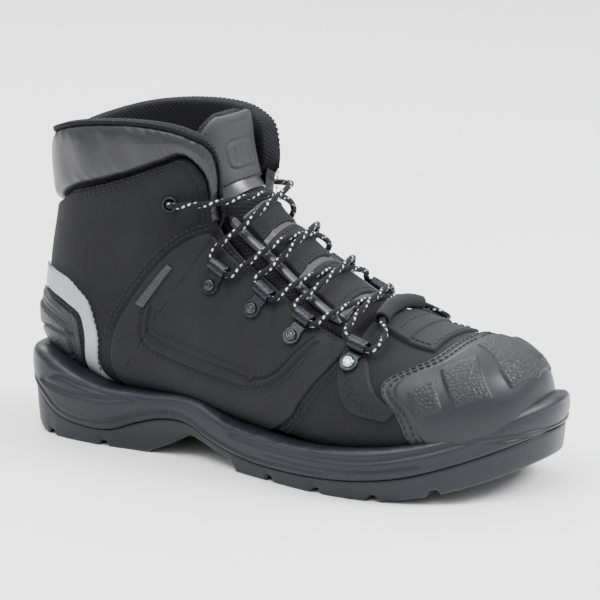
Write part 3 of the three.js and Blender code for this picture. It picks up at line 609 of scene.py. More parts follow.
# ---- Shader nodes -----------------------------------------------------------------------------
class Nodes:
    """Places and links nodes in one node tree."""

    def __init__(self, tree: bpy.types.NodeTree) -> None:
        """Keeps the tree to work in."""
        self.tree = tree

    def add(self, kind: str, settings: Optional[dict] = None, **inputs: object) -> bpy.types.Node:
        """Adds a node; an input given as a socket is linked, and any other value is set on it.

        Args:
            kind: the node's type name.
            settings: properties of the node itself.
            inputs: its inputs by name, with _ for a space.

        Returns:
            The node.
        """
        node = self.tree.nodes.new(kind)
        for word, value in (settings or {}).items():
            setattr(node, word, value)
        for word, value in inputs.items():
            socket = node.inputs[word.replace("_", " ")]
            if isinstance(value, bpy.types.NodeSocket):
                self.tree.links.new(value, socket)
            else:
                socket.default_value = value
        return node

    def math(self, operation: str, a: object, b: object = 0.0) -> bpy.types.NodeSocket:
        """A Math node's result."""
        node = self.tree.nodes.new("ShaderNodeMath")
        node.operation = operation
        for socket, value in zip(node.inputs, (a, b)):
            if isinstance(value, bpy.types.NodeSocket):
                self.tree.links.new(value, socket)
            else:
                socket.default_value = value
        return node.outputs[0]

    def blend(self, factor: bpy.types.NodeSocket, a: object, b: object) -> bpy.types.NodeSocket:
        """A colour between a and b, by a mask."""
        node = self.tree.nodes.new("ShaderNodeMix")
        node.data_type = "RGBA"
        self.tree.links.new(factor, node.inputs[0])
        for socket, value in zip(node.inputs[6:8], (a, b)):
            if isinstance(value, bpy.types.NodeSocket):
                self.tree.links.new(value, socket)
            else:
                socket.default_value = (*value, 1.0)
        return node.outputs[2]

    def remap(self, value: bpy.types.NodeSocket, from_low: float, from_high: float,
              to_low: float = 0.0, to_high: float = 1.0) -> bpy.types.NodeSocket:
        """A value carried from one range to another, and kept in it."""
        node = self.tree.nodes.new("ShaderNodeMapRange")
        self.tree.links.new(value, node.inputs[0])
        for socket, number in zip(node.inputs[1:5], (from_low, from_high, to_low, to_high)):
            socket.default_value = number
        return node.outputs[0]


def new_group(name: str, inputs: dict[str, float], outputs: Sequence[str]) -> tuple[Nodes, dict, object]:
    """Starts a node group whose first input is a place.

    Args:
        name: the group's name.
        inputs: number inputs with their usual values.
        outputs: names of its number outputs.

    Returns:
        The nodes, the inner input sockets by name, and the group's output node.
    """
    tree = bpy.data.node_groups.new(name, "ShaderNodeTree")
    tree.interface.new_socket("Place", in_out="INPUT", socket_type="NodeSocketVector")
    for word, value in inputs.items():
        tree.interface.new_socket(word, in_out="INPUT", socket_type="NodeSocketFloat").default_value = value
    for word in outputs:
        tree.interface.new_socket(word, in_out="OUTPUT", socket_type="NodeSocketFloat")
    nodes = Nodes(tree)
    source = tree.nodes.new("NodeGroupInput")
    return nodes, {s.name: s for s in source.outputs if s.name}, tree.nodes.new("NodeGroupOutput")


def hide_group() -> bpy.types.NodeTree:
    """Leather hide: pebbles parted by creases, over a fine nap, and slow patches of tone."""
    nodes, given, out = new_group("Hide", {"Pebble Scale": 700.0, "Nap Scale": 2200.0},
                                  ("Height", "Nap", "Tone"))
    pebble = nodes.add("ShaderNodeTexVoronoi", {"feature": "DISTANCE_TO_EDGE"}, Vector=given["Place"],
                       Scale=given["Pebble Scale"])
    nap = nodes.add("ShaderNodeTexNoise", None, Vector=given["Place"], Scale=given["Nap Scale"], Detail=3.0)
    tone = nodes.add("ShaderNodeTexNoise", None, Vector=given["Place"], Scale=38.0, Detail=5.0,
                     Roughness=0.62)
    link = nodes.tree.links.new
    link(nodes.remap(pebble.outputs["Distance"], 0.0, 0.22), out.inputs["Height"])
    link(nap.outputs["Fac"], out.inputs["Nap"])
    link(nodes.remap(tone.outputs["Fac"], 0.32, 0.7), out.inputs["Tone"])
    return nodes.tree


def wear_group() -> bpy.types.NodeTree:
    """Rubbed edges, and on the midsole a painted highlight along its rolled rim: the mark of an edge, broken
    up by noise.
    """
    nodes, given, out = new_group("Edge wear", {"Rim": 0.0, "Amount": 0.5}, ("Mask",))
    patch = nodes.add("ShaderNodeTexNoise", None, Vector=given["Place"], Scale=160.0, Detail=4.0)
    broken = nodes.math("MULTIPLY", nodes.remap(patch.outputs["Fac"], 0.35, 0.65), given["Rim"])
    nodes.tree.links.new(nodes.math("MULTIPLY", broken, given["Amount"]), out.inputs["Mask"])
    return nodes.tree


def dust_group() -> bpy.types.NodeTree:
    """Fine specks of dust and slow smudges."""
    nodes, given, out = new_group("Dust", {"Amount": 0.5}, ("Mask",))
    speck = nodes.add("ShaderNodeTexNoise", None, Vector=given["Place"], Scale=900.0, Detail=2.0)
    smudge = nodes.add("ShaderNodeTexNoise", None, Vector=given["Place"], Scale=22.0, Detail=6.0)
    both = nodes.math("MULTIPLY", nodes.remap(speck.outputs["Fac"], 0.5, 0.78),
                      nodes.remap(smudge.outputs["Fac"], 0.4, 0.7))
    nodes.tree.links.new(nodes.math("MULTIPLY", both, given["Amount"]), out.inputs["Mask"])
    return nodes.tree


def knit_group() -> bpy.types.NodeTree:
    """Knitted cloth: rows of round holes, every second row set half a step over."""
    nodes, given, out = new_group("Knit", {"Step": 2.0}, ("Hole", "Yarn"))
    size = nodes.math("DIVIDE", 1000.0, given["Step"])
    turned = nodes.add("ShaderNodeMapping", None, Vector=given["Place"], Rotation=(0, 0, math.pi / 4))
    cells = nodes.add("ShaderNodeTexVoronoi", None, Vector=turned.outputs[0], Scale=size, Randomness=0.0)
    yarn = nodes.add("ShaderNodeTexWave", {"bands_direction": "DIAGONAL"}, Vector=given["Place"],
                     Scale=nodes.math("MULTIPLY", size, 1.2), Distortion=1.5)
    link = nodes.tree.links.new
    link(nodes.remap(cells.outputs["Distance"], 0.22, 0.40, 1.0, 0.0), out.inputs["Hole"])
    link(yarn.outputs["Fac"], out.inputs["Yarn"])
    return nodes.tree


GROUPS: dict[str, bpy.types.NodeTree] = {}
Colour = tuple[float, float, float]


@dataclass(frozen=True)
class Finish:
    """What every finish has: a name, the record's slot, a colour, how rough it is and how it mirrors."""

    name: str
    slot: str
    colour: Colour
    roughness: float = 0.6
    mirror: float = 0.5

    def make(self) -> bpy.types.Material:
        """Builds the material once and keeps it."""
        known = bpy.data.materials.get(self.name)
        if known is not None:
            return known
        material = bpy.data.materials.new(self.name)
        material.use_nodes = True
        material.node_tree.nodes.clear()
        nodes = Nodes(material.node_tree)
        shader = nodes.add("ShaderNodeBsdfPrincipled", None, Roughness=self.roughness)
        shader.inputs["Base Color"].default_value = (*self.colour, 1.0)
        shader.inputs["Specular IOR Level"].default_value = self.mirror
        nodes.add("ShaderNodeOutputMaterial", None, Surface=shader.outputs[0])
        place = nodes.add("ShaderNodeTexCoord")
        self.dress(nodes, shader, place.outputs["Object"], place.outputs["UV"])
        return material

    def dress(self, nodes: Nodes, shader: bpy.types.Node, place: bpy.types.NodeSocket,
              cloth: bpy.types.NodeSocket) -> None:
        """Adds the finish's own nodes.

        Args:
            nodes: the material's nodes.
            shader: its shader.
            place: object coordinates.
            cloth: the piece's own texture places.
        """
        raise NotImplementedError

    def group(self, nodes: Nodes, word: str, **inputs: object) -> bpy.types.Node:
        """Places a shared group in the material."""
        node = nodes.tree.nodes.new("ShaderNodeGroup")
        node.node_tree = GROUPS[word]
        for name, value in inputs.items():
            socket = node.inputs[name.replace("_", " ")]
            if isinstance(value, bpy.types.NodeSocket):
                nodes.tree.links.new(value, socket)
            else:
                socket.default_value = value
        return node

    def mark(self, nodes: Nodes, word: str) -> bpy.types.NodeSocket:
        """The value of one of the piece's own attributes."""
        return nodes.add("ShaderNodeAttribute", {"attribute_name": word}).outputs["Fac"]

    def put(self, shader: bpy.types.Node, nodes: Nodes, **inputs: bpy.types.NodeSocket) -> None:
        """Links sockets to the shader's inputs."""
        for name, socket in inputs.items():
            nodes.tree.links.new(socket, shader.inputs[name.replace("_", " ")])

    def bump(self, nodes: Nodes, height: bpy.types.NodeSocket, depth: float,
             normal: Optional[bpy.types.NodeSocket] = None) -> bpy.types.NodeSocket:
        """A normal from a height, whose full range is depth millimetres."""
        node = nodes.add("ShaderNodeBump", None, Height=height, Strength=1.0, Distance=depth * MM)
        if normal is not None:
            nodes.tree.links.new(normal, node.inputs["Normal"])
        return node.outputs[0]


@dataclass(frozen=True)
class Leather(Finish):
    """Hide with pebbles, nap, patches of tone, dust and rubbed edges."""

    light: Colour = (0.05, 0.05, 0.055)
    worn: Colour = (0.09, 0.09, 0.09)
    pebble: float = 700.0
    pebble_depth: float = 0.04
    nap_depth: float = 0.06
    wear: float = 0.5
    dust: float = 0.15
    sheen: float = 0.0
    coat: float = 0.0

    def dress(self, nodes: Nodes, shader: bpy.types.Node, place: bpy.types.NodeSocket,
              cloth: bpy.types.NodeSocket) -> None:
        """Tone and wear in colour and roughness, pebbles and nap in the bump."""
        hide = self.group(nodes, "hide", Place=place, Pebble_Scale=self.pebble)
        wear = self.group(nodes, "wear", Place=place, Rim=self.mark(nodes, "rim"), Amount=self.wear)
        dust = self.group(nodes, "dust", Place=place, Amount=self.dust)
        colour = nodes.blend(hide.outputs["Tone"], self.colour, self.light)
        colour = nodes.blend(wear.outputs["Mask"], colour, self.worn)
        colour = nodes.blend(dust.outputs["Mask"], colour, (0.08, 0.08, 0.08))
        rough = nodes.remap(hide.outputs["Nap"], 0.3, 0.7, self.roughness - 0.06,
                            min(1, self.roughness + 0.06))
        normal = self.bump(nodes, hide.outputs["Height"], self.pebble_depth)
        normal = self.bump(nodes, hide.outputs["Nap"], self.nap_depth, normal)
        self.put(shader, nodes, Base_Color=colour, Roughness=rough, Normal=normal)
        shader.inputs["Sheen Weight"].default_value = self.sheen
        shader.inputs["Sheen Roughness"].default_value = 0.5
        shader.inputs["Coat Weight"].default_value = self.coat
        shader.inputs["Coat Roughness"].default_value = 0.35


@dataclass(frozen=True)
class Moulded(Finish):
    """Rubber or moulded plastic: fine stipple, flow marks, dust, and pebbles where it is marked."""

    light: Colour = (0.09, 0.095, 0.11)
    stipple: float = 1400.0
    stipple_depth: float = 0.03
    pebbles: float = 0.0
    # How much of the lighter rim colour shows: rubbed edges, and on the midsole a painted highlight on the
    # rolled rim.
    wear: float = 0.35
    dust: float = 0.25

    def dress(self, nodes: Nodes, shader: bpy.types.Node, place: bpy.types.NodeSocket,
              cloth: bpy.types.NodeSocket) -> None:
        """Stipple everywhere, and coarse pebbles on the marked pads."""
        hide = self.group(nodes, "hide", Place=place, Pebble_Scale=480.0, Nap_Scale=self.stipple)
        wear = self.group(nodes, "wear", Place=place, Rim=self.mark(nodes, "rim"), Amount=self.wear)
        dust = self.group(nodes, "dust", Place=place, Amount=self.dust)
        colour = nodes.blend(hide.outputs["Tone"], self.colour, self.light)
        # Lighter colour where the piece is marked "rim": rubbed edges, and on the midsole's rolled rim a
        # painted highlight.
        colour = nodes.blend(wear.outputs["Mask"], colour, (0.06, 0.06, 0.07))
        colour = nodes.blend(dust.outputs["Mask"], colour, (0.10, 0.10, 0.10))
        rough = nodes.remap(hide.outputs["Tone"], 0.0, 1.0, self.roughness - 0.05, self.roughness + 0.08)
        normal = self.bump(nodes, hide.outputs["Nap"], self.stipple_depth)
        if self.pebbles:
            marked = nodes.math("MULTIPLY", hide.outputs["Height"], self.mark(nodes, "mark"))
            normal = self.bump(nodes, marked, self.pebbles, normal)
        self.put(shader, nodes, Base_Color=colour, Roughness=rough, Normal=normal)


@dataclass(frozen=True)
class Knit(Finish):
    """Spacer mesh, lining or reflective cloth: holes and yarns that follow the cloth."""

    hole: Colour = (0.004, 0.004, 0.005)
    step: float = 2.0
    depth: float = 0.5
    metal: float = 0.0

    def dress(self, nodes: Nodes, shader: bpy.types.Node, place: bpy.types.NodeSocket,
              cloth: bpy.types.NodeSocket) -> None:
        """Dark holes, lit yarns, and a bump that sinks at each hole."""
        knit = self.group(nodes, "knit", Place=cloth, Step=self.step)
        hide = self.group(nodes, "hide", Place=place)
        lit = tuple(min(1.0, c * 1.35) for c in self.colour)
        colour = nodes.blend(hide.outputs["Tone"], self.colour, lit)
        colour = nodes.blend(nodes.math("MULTIPLY", knit.outputs["Hole"], 0.85), colour, self.hole)
        yarn = nodes.math("MULTIPLY", knit.outputs["Yarn"], 0.25)
        height = nodes.math("SUBTRACT", yarn, knit.outputs["Hole"])
        rough = nodes.remap(knit.outputs["Yarn"], 0.0, 1.0, self.roughness - 0.05,
                            min(1, self.roughness + 0.05))
        self.put(shader, nodes, Base_Color=colour, Roughness=rough,
                 Normal=self.bump(nodes, height, self.depth))
        shader.inputs["Metallic"].default_value = self.metal


@dataclass(frozen=True)
class Metal(Finish):
    """Coated or bare metal, with drawn scratches and rubbed edges."""

    bright: Colour = (0.3, 0.3, 0.32)

    def dress(self, nodes: Nodes, shader: bpy.types.Node, place: bpy.types.NodeSocket,
              cloth: bpy.types.NodeSocket) -> None:
        """Scratches stretched along one way, in colour and roughness."""
        stretched = nodes.add("ShaderNodeMapping", None, Vector=place, Scale=(1.0, 1.0, 9.0))
        drawn = nodes.add("ShaderNodeTexNoise", None, Vector=stretched.outputs[0], Scale=420.0, Detail=4.0)
        wear = self.group(nodes, "wear", Place=place, Rim=self.mark(nodes, "rim"), Amount=0.8)
        colour = nodes.blend(nodes.remap(drawn.outputs["Fac"], 0.45, 0.8), self.colour, self.bright)
        colour = nodes.blend(wear.outputs["Mask"], colour, self.bright)
        rough = nodes.remap(drawn.outputs["Fac"], 0.3, 0.7, self.roughness - 0.08, self.roughness + 0.12)
        self.put(shader, nodes, Base_Color=colour, Roughness=rough,
                 Normal=self.bump(nodes, drawn.outputs["Fac"], 0.03))
        shader.inputs["Metallic"].default_value = 1.0


@dataclass(frozen=True)
class Thread(Finish):
    """Twisted thread or braid: fibres along it, and light flecks where it is marked."""

    fleck: Colour = (0.75, 0.76, 0.78)

    def dress(self, nodes: Nodes, shader: bpy.types.Node, place: bpy.types.NodeSocket,
              cloth: bpy.types.NodeSocket) -> None:
        """Fibres in the bump, and the flecks in colour."""
        fibre = nodes.add("ShaderNodeTexNoise", None, Vector=place, Scale=2600.0, Detail=3.0)
        lit = tuple(c * 2.2 for c in self.colour)
        colour = nodes.blend(nodes.remap(fibre.outputs["Fac"], 0.4, 0.7), self.colour, lit)
        colour = nodes.blend(self.mark(nodes, "mark"), colour, self.fleck)
        self.put(shader, nodes, Base_Color=colour, Normal=self.bump(nodes, fibre.outputs["Fac"], 0.08))
        shader.inputs["Sheen Weight"].default_value = 0.04


class Finishes:
    """The boot's finishes, by the piece they are for."""

    nubuck = Leather("Nubuck", "nubuck", (0.0062, 0.0062, 0.0077), 0.82, 0.2,
                     light=(0.0099, 0.0099, 0.0124), worn=(0.0217, 0.0217, 0.0248), pebble=1100.0,
                     pebble_depth=0.03, nap_depth=0.08, wear=0.3, dust=0.05, sheen=0.03)
    overlay = Leather("Nubuck overlay", "nubuck_overlay", (0.0062, 0.0062, 0.0077), 0.76, 0.22,
                      light=(0.0099, 0.0099, 0.0124), worn=(0.0217, 0.0217, 0.0248), pebble=1000.0,
                      pebble_depth=0.03, wear=0.4, dust=0.05, sheen=0.03)
    collar = Leather("Smooth collar leather", "smooth_leather", (0.0125, 0.0125, 0.0150), 0.40, 0.30,
                     light=(0.0211, 0.0211, 0.0242), pebble=1300.0, pebble_depth=0.02, nap_depth=0.02,
                     wear=0.1, dust=0.05, coat=0.1)
    gloss = Leather("Glossy tongue leather", "smooth_leather", (0.0087, 0.0087, 0.0099), 0.28,
                    light=(0.0124, 0.0124, 0.0143), pebble=1500.0, pebble_depth=0.015, nap_depth=0.01,
                    wear=0.1, dust=0.03, coat=0.3)
    tongue_patch = Leather("Tongue patch leather", "smooth_leather", (0.0136, 0.0136, 0.0161), 0.6, 0.35,
                           light=(0.0186, 0.0186, 0.0217), pebble=1100.0, pebble_depth=0.04, wear=0.15,
                           dust=0.05)
    bumper = Moulded("Toe bumper", "bumper_rubber", (0.0115, 0.0118, 0.0155), 0.44, 0.28,
                     light=(0.0167, 0.017, 0.0211), pebbles=0.22, stipple_depth=0.015, dust=0.06)
    guard = Moulded("Heel guard", "guard_rubber", (0.0100, 0.0104, 0.0130), 0.46, 0.4,
                    light=(0.0118, 0.0121, 0.0149), pebbles=0.2, dust=0.06)
    midsole = Moulded("Midsole", "midsole_pu", (0.0105, 0.0108, 0.0150), 0.42, 0.26,
                      light=(0.0145, 0.015, 0.0200), stipple_depth=0.012, dust=0.06)
    outsole = Moulded("Outsole", "outsole_rubber", (0.0110, 0.0113, 0.0155), 0.48, 0.26,
                      light=(0.0174, 0.018, 0.0229), stipple_depth=0.02, dust=0.06)
    mesh = Knit("Spacer mesh", "mesh_lining", (0.0087, 0.0087, 0.0105), 0.8, 0.2,
                hole=(0.0019, 0.0019, 0.0025), step=1.7, depth=0.5)
    cloth = Knit("Lining cloth", "mesh_lining", (0.0074, 0.0074, 0.0087), 0.9, 0.2, step=1.2, depth=0.2)
    footbed = Knit("Footbed cover", "footbed_foam", (0.0186, 0.0186, 0.0211), 0.9, 0.2, step=1.6, depth=0.2)
    reflective = Knit("Reflective tape", "reflective", (0.288, 0.296, 0.304), 0.42, hole=(0.224, 0.232, 0.24),
                      step=0.9, depth=0.05, metal=0.25)
    aramid = Knit("Woven aramid", "aramid", (0.5, 0.4, 0.1), 0.8, hole=(0.3, 0.22, 0.05), step=1.4, depth=0.2)
    board = Leather("Fibre board", "board", (0.34, 0.29, 0.2), 0.9, light=(0.42, 0.36, 0.26), pebble=300.0)
    steel = Metal("Pressed steel", "steel", (0.42, 0.43, 0.44), 0.35, bright=(0.6, 0.6, 0.6))
    hardware = Metal("Coated hardware", "hardware", (0.020, 0.021, 0.024), 0.38, bright=(0.07, 0.072, 0.08))
    rivet = Metal("Rivet", "rivet_metal", (0.035, 0.036, 0.040), 0.32, bright=(0.12, 0.12, 0.125))
    bare_rivet = Metal("Bare rivet", "rivet_metal", (0.4, 0.4, 0.41), 0.22, bright=(0.6, 0.6, 0.6))
    lace = Thread("Lace braid", "lace_braid", (0.004, 0.004, 0.005), 0.75, 0.15)
    thread = Thread("Stitching thread", "nubuck", (0.007, 0.007, 0.009), 0.6, 0.2)
    aglet = Moulded("Aglet film", "aglet", (0.012, 0.012, 0.014), 0.25, light=(0.02, 0.02, 0.022))
    tag = Moulded("Label tag", "tag", (0.022, 0.0225, 0.026), 0.5, 0.3, light=(0.03, 0.03, 0.035), dust=0.05)
    edge_rubber = Moulded("Cap edge rubber", "edge_rubber", (0.02, 0.02, 0.02), 0.8)


# ---- Dressing and fixing pieces -----------------------------------------------------------------
def fit(obj: bpy.types.Object, finish: Finish, body: str, *nodes: str) -> bpy.types.Object:
    """Gives a piece its finish, makes it ride on a body, and lets it stand for CAD nodes."""
    obj.data.materials.append(finish.make())
    if body:
        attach(obj, body)
    if nodes:
        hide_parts(*nodes)
    LOG.info("%s: %d faces", obj.name, len(obj.data.polygons))
    return obj


BOOT, FLAP = "boot", "tongue_top"


# ---- Sole unit ----------------------------------------------------------------------------------
@dataclass
class Sole:
    """The moulded sole: a lugged outsole under a sculpted midsole."""

    length: float = 304.0
    forefoot: float = 60.5 / 58
    heel: float = 43 / 42
    steps: int = 300
    tread_x: tuple = (-128, -92, 20, 52, 84, 113)
    tread_width: float = 5.0
    tread_depth: float = 3.0
    parting: Points = ((-156, 26), (-143, 25), (-122, 13), (-102, 9.5), (-88, 10), (-71, 16), (-57, 20),
                       (-41, 20.5), (-22, 13.6), (7, 8.4), (33, 8.2), (56, 9), (78, 10.8), (97, 14),
                       (123, 22), (144, 30), (156, 35))
    floor: Points = ((-156, 14), (-125, 8), (-75, 8), (-60, 14), (-41, 17), (-22, 12), (0, 7), (70, 7),
                     (85, 8), (105, 11), (125, 16), (140, 21), (156, 26))
    rim: Points = ((-156, 45), (-137, 47), (-112, 38), (-96, 33.5), (-65, 33), (-32, 33), (-16, 27.5),
                   (19, 23.6), (37, 23.4), (61, 25), (82, 27.5), (101, 31), (120, 36), (134, 41.5),
                   (145, 47), (156, 52))
    under_foot: Points = ((-156, 27), (-108, 26), (-55, 24), (-10, 19), (28, 15.5), (56, 13.5), (82, 15.5),
                          (106, 18.5), (125, 22.5), (137, 26.5), (142, 31), (146, 40), (156, 44))
    waist: Points = ((-66, 0), (-49, 7.6), (-39, 13.2), (-36, 13.2), (-18, 7.4), (-9, 5.6), (-4.6, 0))
    # Sculpted lines on the wall, as (x, height), from the heel to the toe.
    recess: Points = ((-137, 30), (-131, 35), (-121, 38), (-106, 35), (-88, 32), (-70, 29.4), (-88, 25),
                      (-102, 24.8), (-118, 25.4), (-130, 27.6))
    flow: Points = ((-141, 30.5), (-131, 24.5), (-121, 17.2), (-106, 14.0), (-89, 15.2), (-72, 20.5),
                    (-57, 24.4), (-41, 24.4), (-22, 17.6), (7, 12.2), (33, 12.0), (56, 12.8))
    ripple: Points = ((-4, 21.5), (20, 20.2), (50, 20.2), (78, 21.6), (104, 27.0), (126, 34.0))
    ripple_low: Points = ((20, 15.4), (50, 15.2), (80, 17.2), (106, 22.0))

    def __post_init__(self) -> None:
        """Works out the outline's points, outward directions and running length."""
        lateral = [(-148, -22 * self.heel), (-132, -37 * self.heel), (-102, -42 * self.heel),
                   (-67, -41 * self.heel), (-32, -41 * self.forefoot), (8, -50 * self.forefoot),
                   (48, -58 * self.forefoot), (83, -57 * self.forefoot), (116, -46 * self.forefoot),
                   (140, -26 * self.forefoot)]
        medial = [(-148, 20), (-132, 34), (-102, 38), (-62, 34), (-22, 33), (18, 44), (53, 54), (88, 56),
                  (123, 50), (144, 34)]
        corners = [(-self.length / 2, 0), *lateral, (self.length / 2, 4), *medial[::-1]]
        at = np.arange(2 * self.steps) / (2 * self.steps)
        self.plan = curve(corners, at, closed=True)
        ahead = curve(corners, at + 1e-4, closed=True) - self.plan
        out = np.stack([ahead[:, 1], -ahead[:, 0]], -1)
        self.out = unit(out)
        self.out *= np.sign((self.out * self.plan).sum(1, keepdims=True))
        self.run = lengths(self.plan)
        self.full = self.run[-1] + np.linalg.norm(self.plan[0] - self.plan[-1])

    def ground(self, x: Array) -> Array:
        """Height of the tread: the toe springs up, and the heel's back edge is bevelled."""
        toe = 19 * np.clip((x - 70) / 82, 0, None) ** 2
        return toe + 5 * np.clip((-125 - x) / 27, 0, None) ** 2

    def underside(self, x: Array, y: Array) -> Array:
        """Height of the sole's underside: the ground line, the waist's arch, and the tread's channels."""
        wx, wz = np.array(self.waist).T
        arch = np.interp(x, wx, wz)
        bent = x + 0.10 * np.abs(y) * np.sign(x + 35)
        across = np.zeros(np.broadcast(x, y).shape)
        for place in self.tread_x:
            shifted = place + 0.10 * 45 * np.sign(place + 35)
            across = np.maximum(across, self.groove(bent - shifted))
        centre = self.groove(y - 2 * np.sin(x / 9)) * ((smoothstep(-120, -117, x) - smoothstep(-76, -72, x))
                                                      + (smoothstep(2, 5, x) - smoothstep(100, 104, x)))
        blocks = self.groove(np.abs(y) - 24) * (smoothstep(20, 22, x) - smoothstep(112, 114, x))
        depth = self.tread_depth * np.maximum(np.maximum(across, centre), 0.7 * blocks)
        return self.ground(x) + np.maximum(arch, depth)

    def groove(self, away: Array) -> Array:
        """1 in a channel's flat bottom, 0 outside it, with walls 1 mm wide."""
        half = self.tread_width / 2
        return 1 - smoothstep(half - 0.6, half + 0.4, np.abs(away))

    def ring(self, grow: float, z: Array) -> Array:
        """One ring of the sole: the outline grown outwards, at the given heights."""
        xy = self.plan + self.out * np.asarray(grow)[..., None]
        return np.column_stack([xy[:, 0], xy[:, 1] + CENTRE_SHIFT, z])

    def at(self, rows: Points) -> Array:
        """A height table read at the outline's own points."""
        knots, values = np.array(rows, float).T
        return track(knots, values, self.plan[:, 0])

    def unroll(self, path: Points, mirror: bool) -> Array:
        """Wall places (run, height) of (x, height) points, on the lateral side or its mirror."""
        half = slice(0, self.steps + 1) if not mirror else slice(2 * self.steps - 1, self.steps - 1, -1)
        x, run = self.plan[half, 0], self.run[half]
        dense = curve(path, np.linspace(0, 1, 24 * len(path)))
        order = np.argsort(x)
        return np.column_stack([np.interp(dense[:, 0], x[order], run[order]), dense[:, 1]])

    def wall_distance(self, run: Array, z: Array, line: Array) -> Array:
        """Distance on the unrolled wall from each point to a line."""
        points = np.stack([run, z, np.zeros_like(run)], -1)
        return distance_to(points, np.column_stack([line, np.zeros(len(line))]))

    def sculpture(self, run: Array, z: Array) -> Array:
        """Relief of the midsole's wall: the heel's long recess, the flow line and the side ripples."""
        total = np.zeros(run.shape)
        for mirror in (False, True):
            ring = self.unroll([*self.recess, self.recess[0]], mirror)
            away = self.wall_distance(run, z, ring)
            corners = ring[:-1]
            held = inside(np.stack([run, z], -1), corners)
            total -= 1.5 * smoothstep(0.0, 2.2, np.where(held, away, 0.0))
            total += 1.2 * smoothstep(2.4, 5.0, np.where(held, away, 0.0))
            for path, height, width in ((self.flow, -0.7, 1.0), (self.ripple, -1.3, 1.5),
                                        (self.ripple_low, -0.7, 1.1)):
                away = self.wall_distance(run, z, self.unroll(path, mirror))
                total += height * np.exp(-(away / width) ** 2)
        heel = np.minimum(run, self.full - run)
        ribs = sum(np.exp(-((z - height) / 0.8) ** 2) for height in (21.0, 25.5, 30.0))
        total -= 0.8 * ribs * (1 - smoothstep(18, 32, heel)) * smoothstep(2, 6, z - 14)
        toe = np.abs(run - self.full / 2)
        lines = np.exp(-((z - 36.5) / 0.7) ** 2) + np.exp(-((z - 33.8) / 0.7) ** 2)
        return total - 0.7 * lines * (1 - smoothstep(34, 46, toe))

    def wall(self, low: Array, high: Array, levels: Array, grows: Array, relief: bool) -> Array:
        """Rings of the wall between two height lines.

        Args:
            low: heights of the lowest ring.
            high: heights of the highest ring.
            levels: share of the way up for each ring.
            grows: how far each ring stands out from the outline.
            relief: whether the rings carry the sculpted relief.

        Returns:
            A grid of points, ring by ring.
        """
        z = low + (high - low) * levels[:, None]
        run = np.broadcast_to(self.run, z.shape)
        grow = grows[:, None] + (self.sculpture(run, z) if relief else 0)
        return np.stack([self.ring(g, row) for g, row in zip(grow, z)])

    def capped(self, name: str, rings: Array, under: Optional[Array], marks: Array) -> bpy.types.Object:
        """A closed body through rings, with strips across its top and a grid across its underside."""
        count, sides = rings.shape[:2]
        faces = [grid_faces(count, sides, wrap=True)]
        i = np.arange(self.steps)
        strip = np.stack([i, i + 1, (sides - i - 1) % sides, (sides - i) % sides], -1)
        ends, middle = strip[[0, -1]], strip[1:-1]
        tri = np.array([[ends[0][0], ends[0][1], ends[0][2]], [ends[1][0], ends[1][1], ends[1][3]]])
        top = (count - 1) * sides
        faces += [middle + top, tri + top]
        points = rings.reshape(-1, 3)
        extra = 0
        if under is None:
            faces += [middle[:, ::-1], tri[:, ::-1]]
        else:
            inner = under.shape[1]
            first = len(points)
            extra = under.shape[0] * inner
            table = np.column_stack([np.arange(1, self.steps),
                                     first + np.arange(extra).reshape(-1, inner),
                                     sides - np.arange(1, self.steps)])
            points = np.vstack([points, under.reshape(-1, 3)])
            quads = np.stack([table[:-1, :-1], table[:-1, 1:], table[1:, 1:], table[1:, :-1]], -1)
            faces.append(quads.reshape(-1, 4))
            for row, pole in ((table[0], 0), (table[-1], self.steps)):
                fan = np.stack([np.full(len(row) - 1, pole), row[:-1], row[1:]], -1)
                faces.append(fan if pole == self.steps else fan[:, ::-1])
        return make_mesh(name, points, faces, None, {"rim": np.concatenate([marks.ravel(), np.zeros(extra)])})

    def outsole(self) -> bpy.types.Object:
        """The tread unit, with channels that notch its lower edge."""
        parting = self.at(self.parting)
        levels = np.array([0, 0.05, 0.12, 0.25, 0.4, 0.55, 0.7, 0.85, 0.95, 1.0])
        grows = np.array([-0.9, -0.3, 0.1, 0.4, 0.7, 0.9, 1.1, 1.3, 1.4, 0.9])
        edge = self.ring(-0.9, np.zeros(2 * self.steps))
        low = self.underside(edge[:, 0], edge[:, 1] - CENTRE_SHIFT)
        rings = self.wall(np.minimum(low, parting - 1.5), parting, levels, grows, False)
        inner = [self.ring(-3, parting), self.ring(-5, self.at(self.floor))]
        rings = np.concatenate([rings, np.stack(inner)])
        share = np.linspace(0, 1, 66)[1:-1, None]
        left, right = edge[1:self.steps], edge[:self.steps:-1]
        across = left[:, None] * (1 - share) + right[:, None] * share
        across[..., 2] = self.underside(across[..., 0], across[..., 1] - CENTRE_SHIFT)
        marks = np.zeros(rings.shape[:2])
        marks[:2] = 1.0
        return self.capped("outsole_tread", rings, across, marks)

    def ledge(self, rim: Array) -> Array:
        """How far the rim stands off the leather at each point of the outline."""
        s, t = np.meshgrid(np.linspace(0, 0.9, 361), np.linspace(-1, 1, 481))
        skin = FORM.point(s, t).reshape(-1, 3) - (0, CENTRE_SHIFT, 0)
        order = np.argsort(self.plan[:, 0])
        level = np.interp(skin[:, 0], self.plan[order, 0], rim[order])
        near = skin[np.abs(skin[:, 2] - level) < 1.2]
        flat = np.column_stack([near[:, :2], np.zeros(len(near))])
        away = distance_to(np.column_stack([self.plan, np.zeros(len(self.plan))]), flat)
        kernel = np.hanning(15) / np.hanning(15).sum()
        return np.convolve(np.concatenate([away[-7:], away, away[:7]]), kernel, "valid")

